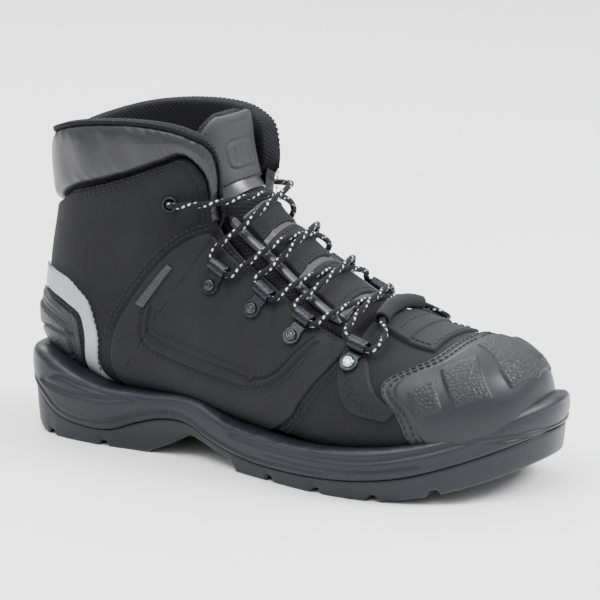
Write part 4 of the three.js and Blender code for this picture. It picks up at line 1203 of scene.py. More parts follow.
    def midsole(self) -> bpy.types.Object:
        """The sculpted wall above the tread, with a rolled rim."""
        parting, rim = self.at(self.parting), self.at(self.rim)
        levels = np.linspace(0, 1, 46)
        grows = track([0, 0.05, 0.3, 0.7, 0.9, 0.97, 1.0], [1.5, 2.3, 3.0, 3.3, 2.5, 1.4, 0.2], levels)
        rings = self.wall(parting + 0.3, rim, levels, grows, True)
        below = [self.ring(-7.5, self.at(self.floor) + 1.6), self.ring(-5.5, parting + 1.6)]
        ledge = self.ledge(rim)
        inner = self.at(self.under_foot)
        above = [self.ring(-0.35 * ledge, rim + 0.15), self.ring(-0.8 * ledge, rim - 0.1),
                 self.ring(-ledge - 0.9, rim - 0.5), self.ring(-ledge - 1.2, np.minimum(inner, rim - 1.5))]
        rings = np.concatenate([np.stack(below), rings, np.stack(above)])
        marks = np.zeros(rings.shape[:2])
        # Marks the rolled top of the rim so that the finish paints it lighter: a painted highlight where
        # light falls on the rim.
        marks[-9:-4] = np.array([0.3, 0.6, 1.0, 1.0, 0.6])[:, None]
        return self.capped("midsole_wall", rings, None, marks)

    def build(self) -> None:
        """Builds and dresses both parts."""
        fit(self.outsole(), Finishes.outsole, BOOT, "outsole")
        fit(self.midsole(), Finishes.midsole, BOOT, "midsole")


# ---- Seams of the upper, as (s, t) on the lateral side ------------------------------------------
@dataclass(frozen=True)
class Seams:
    """The lines that the upper's pieces are cut to."""

    throat_start: float = 0.352
    collar_low: Points = ((0.9, -1), (0.918, -0.68), (0.92, -0.51), (0.928, -0.41), (0.93, -0.35),
                          (0.882, -0.288), (0.79, -0.25), (0.71, -0.252))
    collar_top: Points = ((0.966, -1), (0.978, -0.8), (0.99, -0.6), (0.99, -0.47), (0.97, -0.34),
                          (0.93, -0.25), (0.81, -0.218), (0.70, -0.222))
    quarter_low: Points = ((0.446, -0.235), (0.452, -0.3), (0.466, -0.45), (0.485, -0.62), (0.51, -0.75),
                           (0.57, -0.84), (0.64, -0.92), (0.68, -0.97), (0.70, -1.0))
    quarter_top: Points = ((0.70, -0.235), (0.785, -0.247), (0.875, -0.285), (0.924, -0.345),
                           (0.922, -0.41), (0.914, -0.51), (0.912, -0.68), (0.903, -0.86), (0.896, -1.0))
    panel_front: Points = ((0.356, -0.24), (0.375, -0.33), (0.402, -0.42), (0.43, -0.52), (0.455, -0.62),
                           (0.48, -0.76))
    panel_rear: Points = ((0.695, -0.258), (0.716, -0.30), (0.724, -0.36), (0.712, -0.45), (0.69, -0.56),
                          (0.65, -0.78))
    stripe_outer: Points = ((0.66, -0.84), (0.682, -0.727), (0.714, -0.575), (0.747, -0.55), (0.787, -0.6),
                            (0.82, -0.72), (0.836, -0.85), (0.84, -1))
    stripe_inner: Points = ((0.672, -0.9), (0.694, -0.79), (0.722, -0.62), (0.742, -0.595), (0.768, -0.63),
                            (0.798, -0.73), (0.815, -0.85), (0.82, -1))
    guard_top: Points = ((0.69, -0.84), (0.722, -0.65), (0.741, -0.618), (0.764, -0.648), (0.793, -0.742),
                         (0.81, -0.86), (0.815, -1))
    arc: Points = ((0.689, -0.455), (0.664, -0.500), (0.636, -0.528), (0.600, -0.536), (0.552, -0.528),
                   (0.510, -0.512), (0.482, -0.490), (0.462, -0.460), (0.444, -0.420), (0.427, -0.365),
                   (0.404, -0.29))
    vee: Points = ((0.369, -0.362), (0.40, -0.44), (0.445, -0.621))

    def scuff_edge(self, t: Array) -> Array:
        """Where the toe's scuff cap ends, at each t."""
        return track([0, 0.2, 0.35, 0.45, 0.56, 0.75, 1],
                     [0.198, 0.218, 0.284, 0.247, 0.221, 0.2, 0.2], np.abs(t))

    def vamp_edge(self, t: Array) -> Array:
        """Where the forefoot's leather ends, at each t: at the throat in the middle, past it at the sides."""
        side = 0.425 + 0.09 * np.minimum(np.abs(t), 0.8)
        return self.throat_start + (side - self.throat_start) * smoothstep(0.222, 0.244, np.abs(t))


SEAMS = Seams()


def round_the_heel(points: Points) -> list[list[float]]:
    """A lateral line carried on past the back centre line by its own mirror."""
    return [*map(list, points), *([s, -2 - t] for s, t in reversed(points[:-1]))]


def moved_in(points: Points, distance: float) -> list[list[float]]:
    """A line moved sideways on the form by a distance in millimetres, to the left of its direction."""
    st, base = along_path(points, 3.0)
    tangent = unit(np.gradient(base, axis=0))
    side = np.cross(FORM.normal(st[:, 0], st[:, 1]), tangent) * distance
    step = 1e-3
    along_s = (FORM.point(st[:, 0] + step, st[:, 1]) - base) / step
    along_t = (FORM.point(st[:, 0], st[:, 1] + step) - base) / step
    ss, tt, stt = ((along_s ** 2).sum(1), (along_t ** 2).sum(1), (along_s * along_t).sum(1))
    bs, bt = (side * along_s).sum(1), (side * along_t).sum(1)
    det = ss * tt - stt ** 2
    moved = np.column_stack([st[:, 0] + (bs * tt - bt * stt) / det, st[:, 1] + (bt * ss - bs * stt) / det])
    return moved.tolist()


# ---- Upper --------------------------------------------------------------------------------------
@dataclass
class Upper:
    """The leather shell, its overlays, and the moulded bumper and guard."""

    low: float = -1.8
    overlay: tuple = (0.05, 1.8)

    def side_path(self, points: Points, side: Side) -> list[list[float]]:
        """A lateral line, or its mirror."""
        return mirrored(points, side)

    def vamp(self) -> None:
        """Forefoot leather, from under the scuff cap to the side panels and the throat."""
        t = np.linspace(-0.74, 0.74, 149)
        Panel("vamp_leather", [[0.15, x] for x in t], np.column_stack([SEAMS.vamp_edge(t), t]).tolist(),
              self.low, 0.0, columns=297, rows=44, relief=(
                  Line(SEAMS.vee, -0.5, 0.7),
                  Line(self.side_path(SEAMS.vee, Side.MEDIAL), -0.5, 0.7))).build()
        fit(bpy.data.objects["vamp_leather"], Finishes.nubuck, BOOT, "vamp")

    def quarter(self, side: Side) -> None:
        """Leather of one side and half the heel, with pressed lines."""
        lines = (((0.893, -0.623), (0.879, -0.481), (0.792, -0.401), (0.741, -0.286)),
                 ((0.874, -0.634), (0.836, -0.572), (0.795, -0.552), (0.745, -0.492), (0.748, -0.44),
                  (0.756, -0.396)))
        relief = tuple(Line(self.side_path(p, side), -0.28, 0.9) for p in lines)
        relief += (Line([[0.86, side.value], [0.70, side.value]], -0.5, 0.8),)
        obj = Panel(f"quarter_leather_{side.word}", SEAMS.quarter_low, SEAMS.quarter_top, self.low, 0.0,
                    columns=170, rows=90, side=side, relief=relief).build()
        fit(obj, Finishes.nubuck, BOOT, f"quarter_{side.word}")

    def side_panel(self, side: Side) -> None:
        """Overlay on one side, with its moulded arc and the darts under the lace loops."""
        darts = (((0.597, -0.30), (0.583, -0.318), (0.572, -0.340)), ((0.508, -0.262), (0.498, -0.30),
                                                                     (0.489, -0.336)))
        relief = (Line(self.side_path(moved_in(SEAMS.arc, 1.6), side), -0.8, 0.7),
                  Line(self.side_path(moved_in(SEAMS.arc, 3.6), side), 1.3, 1.1),
                  Line(self.side_path(moved_in(SEAMS.arc, 5.6), side), -0.9, 0.7),
                  Line(self.side_path(moved_in(SEAMS.arc, 7.2), side), 0.8, 0.9),
                  *(Line(self.side_path(p, side), -0.8, 1.1) for p in darts))
        obj = Panel(f"side_overlay_{side.word}", SEAMS.panel_front, SEAMS.panel_rear, *self.overlay,
                    columns=130, rows=190, side=side, relief=relief, edge=1.6).build()
        fit(obj, Finishes.overlay, BOOT, f"side_panel_{side.word}")

    def vamp_overlay(self, side: Side) -> None:
        """Small overlay between the lowest loop and the scuff cap."""
        obj = Panel(f"vamp_corner_{side.word}",
                    [[0.362, -0.238], [0.366, -0.30], [0.352, -0.39], [0.325, -0.455], [0.262, -0.478]],
                    [[0.345, -0.222], [0.322, -0.262], [0.300, -0.345], [0.282, -0.385], [0.243, -0.43]],
                    *self.overlay, columns=90, rows=30, side=side, edge=1.4).build()
        fit(obj, Finishes.overlay, BOOT, f"vamp_overlay_{side.word}")

    def scuff_cap(self) -> None:
        """Moulded toe bumper: a sewn border, a raised field, and pebbled pads on it."""
        t = np.linspace(-0.64, 0.64, 129)
        edge = SEAMS.scuff_edge(t)
        field_edge = edge - 0.030
        field_outline = np.column_stack([np.append(field_edge, [-0.02, -0.02]), np.append(t, [0.64, -0.64])])
        side_pads = (((0.227, -0.359), (0.191, -0.299), (0.164, -0.422), (0.201, -0.450)),
                     ((0.185, -0.249), (0.141, -0.143), (0.084, -0.364), (0.142, -0.411)))
        pads = [Pad(self.side_path(p, side), 1.1, 1.3, 0.5) for p in side_pads for side in Side]
        pads.append(Pad([[0.160, -0.07], [0.165, 0.0], [0.160, 0.07], [0.116, 0.115], [0.082, 0.2],
                         [0.056, 0.27], [0.036, 0.0], [0.056, -0.27], [0.082, -0.2], [0.116, -0.115]],
                        1.1, 1.3, 0.5))
        marks = tuple(Pad(p.outline, 1.0, 1.0) for p in pads)
        border = np.column_stack([edge - 0.012, t]).tolist()

        def flare(u: Array, v: Array, s: Array, t: Array, rim: Array) -> Array:
            """The moulding thickens where it meets the sole round the toe."""
            return 3.2 * (1 - smoothstep(0.0, 0.10, s)) * smoothstep(0, 2, rim + s * 400)

        obj = Panel("toe_bumper", [[0.0005, x] for x in t], np.column_stack([edge, t]).tolist(),
                    0.1, 1.9, columns=257, rows=110, edge=1.3, marker=marks, shape=flare,
                    relief=(Pad(field_outline.tolist(), 1.0, 1.6), Line(border, -0.5, 0.6), *pads)).build()
        fit(obj, Finishes.bumper, BOOT, "scuff_cap")

    def heel(self) -> None:
        """Reflective strip round the heel, and the ribbed guard inside it."""
        obj = Panel("reflective_tape", round_the_heel(SEAMS.stripe_outer), round_the_heel(SEAMS.stripe_inner),
                    0.05, 1.5, columns=220, rows=16, edge=1.0).build()
        fit(obj, Finishes.reflective, BOOT, "reflective_strip")
        top = round_the_heel(SEAMS.guard_top)
        low = [[0.665, -0.92 - 0.16 * i / (len(top) - 1)] for i in range(len(top))]
        parts = (((0.763, -1.0), (0.764, -0.77), (0.729, -0.66)),
                 ((0.735, -1.0), (0.735, -0.83), (0.712, -0.74)),
                 ((0.705, -1.0), (0.71, -0.86), (0.70, -0.80)))
        grooves = tuple(Line(round_the_heel(p[::-1]), -1.6, 1.0) for p in parts)

        def ribs(u: Array, v: Array, s: Array, t: Array, rim: Array) -> Array:
            """Two ribs that follow the border, then a step up to the blocks."""
            border = distance_to(FORM.skin(s, t, np.zeros(s.shape)), along_path(top, 1.0)[1])
            waves = 0.8 * (np.exp(-((border - 2.2) / 0.9) ** 2) + np.exp(-((border - 5.0) / 0.9) ** 2))
            return waves + 2.0 * smoothstep(7.0, 8.6, border)

        obj = Panel("heel_guard_moulding", top, low, 0.05, 1.6, columns=200, rows=90, edge=1.2,
                    relief=grooves, shape=ribs,
                    marker=(Pad([[s, t] for s, t in moved_in(top, -8.5)], 1.0, 1.5),)).build()
        fit(obj, Finishes.guard, BOOT, "heel_guard")

    def tag(self) -> None:
        """Blank moulded tag in the rear seam, with a raised frame."""
        def frame(u: Array, v: Array, s: Array, t: Array, rim: Array) -> Array:
            """A raised edge round a sunk, finely ribbed field."""
            field = smoothstep(1.0, 1.6, rim)
            return -0.35 * field + 0.12 * field * np.cos(u * 2 * np.pi * 14)

        obj = Panel("side_tag", ((0.708, -0.372), (0.698, -0.463)), ((0.694, -0.366), (0.684, -0.457)),
                    1.9, 3.1, columns=150, rows=40, edge=0.5, shape=frame).build()
        fit(obj, Finishes.tag, BOOT, "label_tag")

    def stitches(self, side: Side) -> None:
        """All the seams of one side."""
        def row(path: Points, height: float, inward: float = 0.0, **more: float) -> Stitching:
            """One row of stitches, moved in from a seam."""
            line = moved_in(path, inward) if inward else path
            return Stitching(self.side_path(line, side), height, **more)

        low = SEAMS.collar_low[1:]
        rows = [row(low, 0.35, -2.6), row(low, 0.35, -6.0),
                row(SEAMS.panel_front[:5], 1.95, 2.2), row(SEAMS.panel_front[:5], 1.95, 5.0),
                row(SEAMS.panel_rear[:5], 1.95, -2.2), row(SEAMS.panel_rear[:5], 1.95, -4.8),
                row(SEAMS.arc, 1.95, -0.6), row(SEAMS.arc, 1.95, 8.6),
                row(((0.353, -0.262), (0.345, -0.35), (0.328, -0.413), (0.29, -0.452)), 1.95),
                row(((0.346, -0.272), (0.335, -0.35), (0.318, -0.402), (0.282, -0.438)), 1.95),
                row(SEAMS.stripe_outer[1:7], 1.65, -1.2), row(SEAMS.stripe_inner[1:7], 1.65, 1.2)]
        t = np.linspace(-0.60, 0.0, 40)
        edge = SEAMS.scuff_edge(t)
        for back in (0.007, 0.019):
            rows.append(row(np.column_stack([edge - back, t]).tolist(), 2.1))
        rows.append(row([[0.66, -0.247], [0.56, -0.247], [0.47, -0.247], [0.38, -0.247]], 1.95))
        fit(stitch_mesh(f"stitches_{side.word}", rows), Finishes.thread, BOOT)

    def footbed(self) -> None:
        """Insole seen down the shaft, with a soft cover."""
        rails = [[[x, e] for x in (0.07, 0.2, 0.3, 0.5, 0.68)] for e in (0.78, 1.22)]
        obj = Panel("footbed_cover", rails[0], rails[1], -11, -6.4, columns=120, rows=40, edge=3.0).build()
        fit(obj, Finishes.footbed, BOOT, "footbed")

    def lining(self) -> None:
        """Cloth lining of the shaft and the toes."""
        rear = [[[s, t] for s in (0.335, 0.45, 0.6, 0.75, 0.95)] for t in (0.285, 1.715)]
        obj = Panel("lining_rear", rear[0], rear[1], -6.3, -4.7, columns=80, rows=150, edge=0.8).build()
        fit(obj, Finishes.cloth, BOOT, "lining")
        toe = [[[s, t] for s in (0.01, 0.1, 0.2, 0.335)] for t in (-0.999, 0.999)]
        fit(Panel("lining_toe", toe[0], toe[1], -6.3, -4.7, columns=50, rows=120, edge=0.8).build(),
            Finishes.cloth, BOOT)

    def build(self) -> None:
        """Builds and dresses every piece of the upper."""
        self.vamp()
        for side in Side:
            self.quarter(side)
            self.side_panel(side)
            self.vamp_overlay(side)
            self.stitches(side)
        self.scuff_cap()
        self.heel()
        self.tag()
        self.footbed()
        self.lining()


# ---- Padded collar ------------------------------------------------------------------------------
@dataclass
class Collar:
    """The padded top: smooth leather cushions outside, spacer mesh over the edge and inside."""

    crown: float = 3.6
    seam: float = 0.2
    base: float = -4.1

    def pad(self, side: Side) -> None:
        """One outer cushion: full in the middle, pulled in and puckered at its seams."""
        def fullness(u: Array, v: Array, s: Array, t: Array, rim: Array) -> Array:
            """A dome of edge distance, with pleats that fade away from the low seam."""
            run = 300 * u
            dome = self.crown * (1 - np.exp(-rim / 4.0))
            pleats = 0.35 * np.sin(run / 1.9 + 2 * np.sin(run / 11)) * np.exp(-rim / 3.5)
            folds = 0.35 * soft_noise(run, 30 * v, 34.0, 7) * smoothstep(2, 9, rim)
            return dome + pleats + folds

        obj = Panel(f"collar_cushion_{side.word}", SEAMS.collar_low, SEAMS.collar_top, self.base, self.seam,
                    columns=280, rows=56, edge=2.6, side=side, shape=fullness).build()
        fit(obj, Finishes.collar, BOOT, f"collar_pad_{side.word}")

    def mesh_roll(self) -> None:
        """The mesh edge: one closed section carried round the top, thick inside and rolled over the edge."""
        columns, count = 300, 72
        u = np.linspace(0, 1, columns)
        top = curve(round_the_heel(SEAMS.collar_top), u)
        # Deep edge of the mesh inside the shaft, under the roll.
        low = [[0.80, -1.0], [0.80, -0.8], [0.80, -0.6], [0.79, -0.47], [0.77, -0.37], [0.74, -0.31],
               [0.71, -0.285], [0.685, -0.275]]
        deep = curve(round_the_heel(low), u)
        # The section: share of the way down (below zero stands over the edge), and height.
        section = np.array([(0.03, 0.9), (0.01, 1.8), (-0.015, 2.1), (-0.04, 1.6), (-0.06, 0.2),
                            (-0.07, -1.4), (-0.065, -3.4), (-0.045, -5.4), (0.0, -7.2), (0.12, -8.3),
                            (0.3, -8.7), (0.5, -8.4), (0.7, -7.6), (0.9, -6.6), (1.0, -6.1),
                            (1.0, -4.8), (0.7, -4.6), (0.4, -4.5), (0.15, -4.3), (0.05, -2.0)])
        loop = curve(section, np.arange(count) / count, closed=True)
        width = lengths(FORM.skin(top[:, 0], top[:, 1], np.zeros(columns)))
        span = np.linalg.norm(FORM.point(top[:, 0], top[:, 1]) - FORM.point(deep[:, 0], deep[:, 1]), axis=1)
        share = np.where(loop[:, 0] < 0.06, loop[:, 0] * 34 / span[:, None], loop[:, 0])
        st = top[:, None] * (1 - share[..., None]) + deep[:, None] * share[..., None]
        taper = (1 - 0.35 * (np.exp(-width / 10) + np.exp(-(width[-1] - width) / 10)))[:, None]
        height = np.where(loop[:, 1] < -4.6, -4.6 + (loop[:, 1] + 4.6) * taper, loop[:, 1])
        points = FORM.skin(st[..., 0], st[..., 1], height)
        around = lengths(points, 1)
        uv = np.stack([np.broadcast_to(width[:, None], around.shape), around], -1)
        ring = np.arange(count)
        caps = [ring[None], (ring + (columns - 1) * count)[None, ::-1]]
        faces = [grid_faces(columns, count, wrap=True)[:, ::-1], *caps]
        obj = make_mesh("collar_mesh_roll", points.reshape(-1, 3), faces, uv.reshape(-1, 2))
        fit(obj, Finishes.mesh, BOOT)

    def build(self) -> None:
        """Builds and dresses the collar."""
        for side in Side:
            self.pad(side)
        rows = [Stitching(mirrored(moved_in(SEAMS.collar_top, 1.4), side), 1.9, length=2.0) for side in Side]
        fit(stitch_mesh("stitches_collar", rows), Finishes.thread, BOOT)
        self.mesh_roll()


# ---- Tongue -------------------------------------------------------------------------------------
@dataclass
class Tongue:
    """The padded tongue with its raised panels, side rolls, lip and patch."""

    start: float = 0.345
    end: float = 0.995
    half_knots: tuple = (0.34, 0.42, 0.6, 0.7, 0.78, 0.84, 0.9, 0.96, 1.0)
    half_values: tuple = (0.2, 0.236, 0.236, 0.21, 0.192, 0.208, 0.225, 0.215, 0.12)
    hinge: tuple = (-20.5, 0.0, 143.0)
    thickness: float = 5.0

    def half(self, s: Array) -> Array:
        """Half width of the tongue at s."""
        arch = np.sqrt(np.clip(1 - (np.clip(s - 0.90, 0, None) / 0.098) ** 2, 0.04, 1))
        return track(self.half_knots, self.half_values, np.minimum(s, 0.93)) * arch

    def rails(self, low: float, high: float, inset: float, limit: float = 1.0) -> tuple[Points, Points]:
        """The two side lines of a part of the tongue."""
        s = np.linspace(low, high, 24)
        t = np.minimum(self.half(s) - inset, limit)
        return np.column_stack([s, -t]).tolist(), np.column_stack([s, t]).tolist()

    def body(self) -> None:
        """The padded body, in one piece of cloth from the throat to the top."""
        a, b = self.rails(self.start, self.end, 0.0)

        def fullness(u: Array, v: Array, s: Array, t: Array, rim: Array) -> Array:
            """A soft crown towards the middle, with slow unevenness."""
            return 0.8 * (1 - np.exp(-rim / 5)) + 0.25 * soft_noise(200 * u, 45 * v, 26.0, 3)

        obj = Panel("tongue_padding", a, b, -self.thickness, -0.6, columns=200, rows=60, edge=3.4,
                    shape=fullness, place=FORM.tongue).build()
        fit(obj, Finishes.mesh, "", "tongue_lower", "tongue_flap")
        fold = np.array(self.hinge) * MM
        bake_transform(obj)

    def panels(self) -> None:
        """Three raised panels on the front, each with a row of stitches near its border."""
        rows = []
        for word, low, high in (("upper", 0.585, 0.66), ("middle", 0.49, 0.575), ("lower", 0.40, 0.48)):
            a, b = self.rails(low, high, 0.0, 0.15)
            obj = Panel(f"tongue_front_{word}", a, b, 0.2, 2.0, columns=70, rows=50, edge=1.6,
                        place=FORM.tongue).build()
            fit(obj, Finishes.overlay, BOOT, f"tongue_panel_{word}")
            for s in (low + 0.010, high - 0.010):
                rows.append(Stitching([[s, -0.135], [s, 0.0], [s, 0.135]], 2.1, place=FORM.tongue))
        base_a, base_b = self.rails(0.385, 0.672, 0.0, 0.155)
        obj = Panel("tongue_strap", base_a, base_b, -1.0, 0.6, columns=150, rows=40, edge=1.2,
                    relief=tuple(Line([[0.39, t], [0.53, t], [0.67, t]], 0.9, 1.6) for t in (-0.09, 0.09)),
                    place=FORM.tongue).build()
        fit(obj, Finishes.gloss, BOOT)
        fit(stitch_mesh("stitches_tongue", rows), Finishes.thread, BOOT)

    def rolls(self) -> None:
        """Glossy rolled bars down both sides of the panels."""
        s = np.linspace(0.39, 0.70, 90)
        for side in Side:
            t = side.value * np.full(s.shape, -0.176)
            centre = FORM.tongue(s, t, np.full(s.shape, 0.6))
            out = FORM.tongue(s, t, np.full(s.shape, 1.6)) - centre
            tangent = np.gradient(centre, axis=0)
            across = unit(np.cross(out, tangent))
            ends = np.clip(np.minimum(np.arange(90), 89 - np.arange(90)) / 5, 0.15, 1) ** 0.5
            section = circle(1.0, 20) * (2.9, 2.4)
            obj = sweep_mesh(f"tongue_roll_{side.word}", centre, across, out, section,
                             swell=np.broadcast_to(ends[:, None], (90, 20)))
            fit(obj, Finishes.gloss, BOOT)

    def top(self) -> None:
        """The smooth lip above the fold and the patch on the flap, with a plain pressed mark."""
        a, b = self.rails(0.742, 0.828, 0.006)
        obj = Panel("tongue_lip_leather", a, b, 0.1, 1.9, columns=50, rows=60, edge=1.6,
                    place=FORM.tongue).build()
        fit(obj, Finishes.gloss, FLAP, "tongue_lip")
        a, b = self.rails(0.80, 0.99, 0.004)
        middle, high, wide = 0.895, 0.042, 0.075
        frame = [[middle + high * y, wide * x] for x, y in (
            (0, 1), (0.7, 0.95), (1, 0.6), (1, -0.6), (0.7, -0.95), (0, -1),
            (-0.7, -0.95), (-1, -0.6), (-1, 0.6), (-0.7, 0.95), (0, 1))]
        bars = [[[middle - 0.018, x], [middle + 0.018, x]] for x in (-0.035, 0.0, 0.035)]

        def pillow(u: Array, v: Array, s: Array, t: Array, rim: Array) -> Array:
            """A soft pillow with a pressed frame and three short bars."""
            face = FORM.skin(s, t, np.zeros(s.shape))
            pressed = sum(np.exp(-(distance_to(face, along_path(p, 0.6)[1]) / 0.7) ** 2)
                          for p in (frame, *bars))
            return 1.6 * (1 - np.exp(-rim / 6)) - 0.9 * np.clip(pressed, 0, 1)

        obj = Panel("tongue_patch_leather", a, b, 0.3, 2.4, columns=130, rows=90, edge=1.8, shape=pillow,
                    place=FORM.tongue).build()
        fit(obj, Finishes.tongue_patch, FLAP, "tongue_patch")
        rows = [Stitching([[s, sign * (float(self.half(s)) - 0.018)] for s in np.linspace(0.812, 0.972, 17)],
                          3.0, length=2.2, place=FORM.tongue) for sign in (-1, 1)]
        rows += [Stitching([[s, t] for t in np.linspace(-w, w, 7)], 3.0, length=2.2, place=FORM.tongue)
                 for s, w in ((0.812, 0.18), (0.976, 0.11))]
        fit(stitch_mesh("stitches_patch", rows), Finishes.thread, FLAP)

    def gusset(self, side: Side) -> None:
        """Folded cloth between the tongue and the shaft."""
        obj = Panel(f"gusset_cloth_{side.word}", [[0.37, -0.235], [0.5, -0.232], [0.64, -0.235]],
                    [[0.36, -0.33], [0.5, -0.34], [0.66, -0.33]], -4.4, -2.1, columns=80, rows=24, side=side,
                    edge=0.8).build()
        fit(obj, Finishes.mesh, BOOT, f"gusset_{side.word}")

    def build(self) -> None:
        """Builds and dresses the tongue."""
        self.body()
        self.panels()
        self.rolls()
        self.top()
        for side in Side:
            self.gusset(side)


# ---- Hardware -----------------------------------------------------------------------------------
@dataclass(frozen=True)
class LoopPlace:
    """Where one lace loop sits: its local frame, how far away its tunnel is, and how high."""

    matrix: Array
    reach: float
    rise: float

    def at(self, local: Array) -> Array:
        """Points of the boot from points of the loop's frame."""
        return local @ self.matrix[:3, :3].T + self.matrix[:3, 3]


@dataclass
class Hardware:
    """Stamped lace loops, their rivets, the top eyelets, and the leather keeper."""

    rivets: Points = ((0.346, -0.297), (0.453, -0.315), (0.533, -0.321), (0.614, -0.336))
    tunnels: Points = ((0.340, -0.238), (0.442, -0.254), (0.524, -0.266), (0.615, -0.291))
    eyelet_at: tuple = (0.831, -0.370)
    seat: float = 2.1
    axis: float = 5.6
    ring: float = 5.0
    neck: float = 3.9
    half_tunnel: float = 5.5
    curl: float = 3.1
    plate: float = 0.8

    def place(self, row: int, side: Side) -> LoopPlace:
        """Frame of a loop: +X towards its tunnel, +Z off the leather, origin at the rivet's seat."""
        (rs, rt), (ts, tt) = mirrored([self.rivets[row], self.tunnels[row]], side)
        normal = FORM.normal(np.array([(rs + ts) / 2]), np.array([(rt + tt) / 2]))[0]
        seat = FORM.skin(np.array([rs]), np.array([rt]), np.array([self.seat]))[0]
        axis = FORM.skin(np.array([ts]), np.array([tt]), np.array([self.axis]))[0]
        rise = float((axis - seat) @ normal)
        flat = axis - seat - normal * rise
        reach = float(np.linalg.norm(flat))
        x = flat / reach
        matrix = np.eye(4)
        matrix[:3, 0], matrix[:3, 1], matrix[:3, 2], matrix[:3, 3] = x, np.cross(normal, x), normal, seat
        return LoopPlace(matrix, reach, rise)

    def loop(self, row: int, side: Side) -> None:
        """One loop: a stamped strip, round at its rivet, that curls over into a tunnel."""
        spot = self.place(row, side)
        x = -self.ring * np.cos(np.linspace(0, 0.6 * np.pi, 16))
        run = np.linspace(x[-1], spot.reach - 0.6, 18)[1:]
        turn = np.radians(np.linspace(-80, 205, 34))
        dip = spot.rise - self.curl
        flat_x = np.concatenate([x, run])
        flat_z = self.plate + (dip - self.plate) * smoothstep(spot.reach - 6, spot.reach - 0.6, flat_x)
        rolled = np.column_stack([spot.reach + self.curl * np.cos(turn),
                                  spot.rise + self.curl * np.sin(turn)])
        line = np.vstack([np.column_stack([flat_x, flat_z]), rolled])
        along = lengths(line)
        wide_from = along[len(flat_x) - 1]
        round_part = np.sqrt(np.clip(self.ring ** 2 - np.minimum(line[:, 0], self.ring) ** 2, 0, None))
        half = np.where(line[:, 0] < 3.1, np.maximum(round_part, 0.35), self.neck)
        half = half + (self.half_tunnel - self.neck) * smoothstep(wide_from - 4.5, wide_from - 0.5, along)
        tangent = unit(np.gradient(line, axis=0))
        out = np.column_stack([-tangent[:, 1], tangent[:, 0]])
        v = np.sin(np.linspace(-np.pi / 2, np.pi / 2, 17))
        edge = (1 - np.abs(v))[None] * half[:, None]
        ends = np.minimum(along, along[-1] - along)[:, None]
        thick = 0.62 * np.sqrt(np.clip(1 - (1 - np.clip(np.minimum(edge, ends) / 0.45, 0.02, 1)) ** 2, 0, 1))
        groove = 0.16 * np.exp(-((edge - 1.4) / 0.35) ** 2) * (along[:, None] > 3)
        y = half[:, None] * v[None]
        grids = []
        for height in (thick - groove, -thick):
            x = line[:, :1] + out[:, :1] * height
            z = line[:, 1:] + out[:, 1:] * height
            grids.append(spot.at(np.stack([x, y, z], -1)))
        obj = slab_mesh(f"loop_{side.word}_{row + 1}", *grids, np.stack(
            [np.broadcast_to(along[:, None], y.shape), y], -1), {})
        fit(obj, Finishes.hardware, BOOT, f"lace_loop_{side.word}_{row + 1}")
        head = round_section([(0.02, -1.6), (1.6, -1.6), (1.6, 1.3), (3.2, 1.35), (3.25, 2.1), (2.5, 2.95),
                              (1.7, 3.0), (1.45, 2.45), (0.9, 2.4), (0.02, 2.6)], 0.35)
        rivet = lathe_mesh(f"rivet_{side.word}_{row + 1}", head, spot.matrix, 40)
        finish = Finishes.bare_rivet if (row, side) == (0, Side.LATERAL) else Finishes.rivet
        fit(rivet, finish, BOOT, f"loop_rivet_{side.word}_{row + 1}")

    def eyelet(self, side: Side) -> None:
        """The rolled ring of the top eyelet."""
        (s, t), = mirrored([self.eyelet_at], side)
        z = FORM.normal(np.array([s]), np.array([t]))[0]
        x = np.cross((0, 0, 1), z)
        x /= np.linalg.norm(x)
        matrix = np.eye(4)
        matrix[:3, 0], matrix[:3, 1], matrix[:3, 2] = x, np.cross(z, x), z
        matrix[:3, 3] = FORM.point(np.array([s]), np.array([t]))[0]
        section = round_section([(2.8, -6.6), (3.5, -6.6), (3.5, 0.2), (4.5, 0.2), (4.6, 1.0), (3.9, 1.7),
                                 (3.1, 1.6), (2.8, 0.9)], 0.6)
        obj = lathe_mesh(f"top_eyelet_{side.word}", section, matrix, 48)
        fit(obj, Finishes.hardware, BOOT, f"eyelet_{side.word}")

    def keeper(self) -> None:
        """Leather strap on the vamp, folded over the lace and sewn down."""
        rail = [[0.222, -0.15], [0.25, -0.147], [0.28, -0.138], [0.332, -0.116]]

        def double(u: Array, v: Array, s: Array, t: Array, rim: Array) -> Array:
            """The folded part is two layers thick."""
            return 0.9 * smoothstep(0.62, 0.66, u)

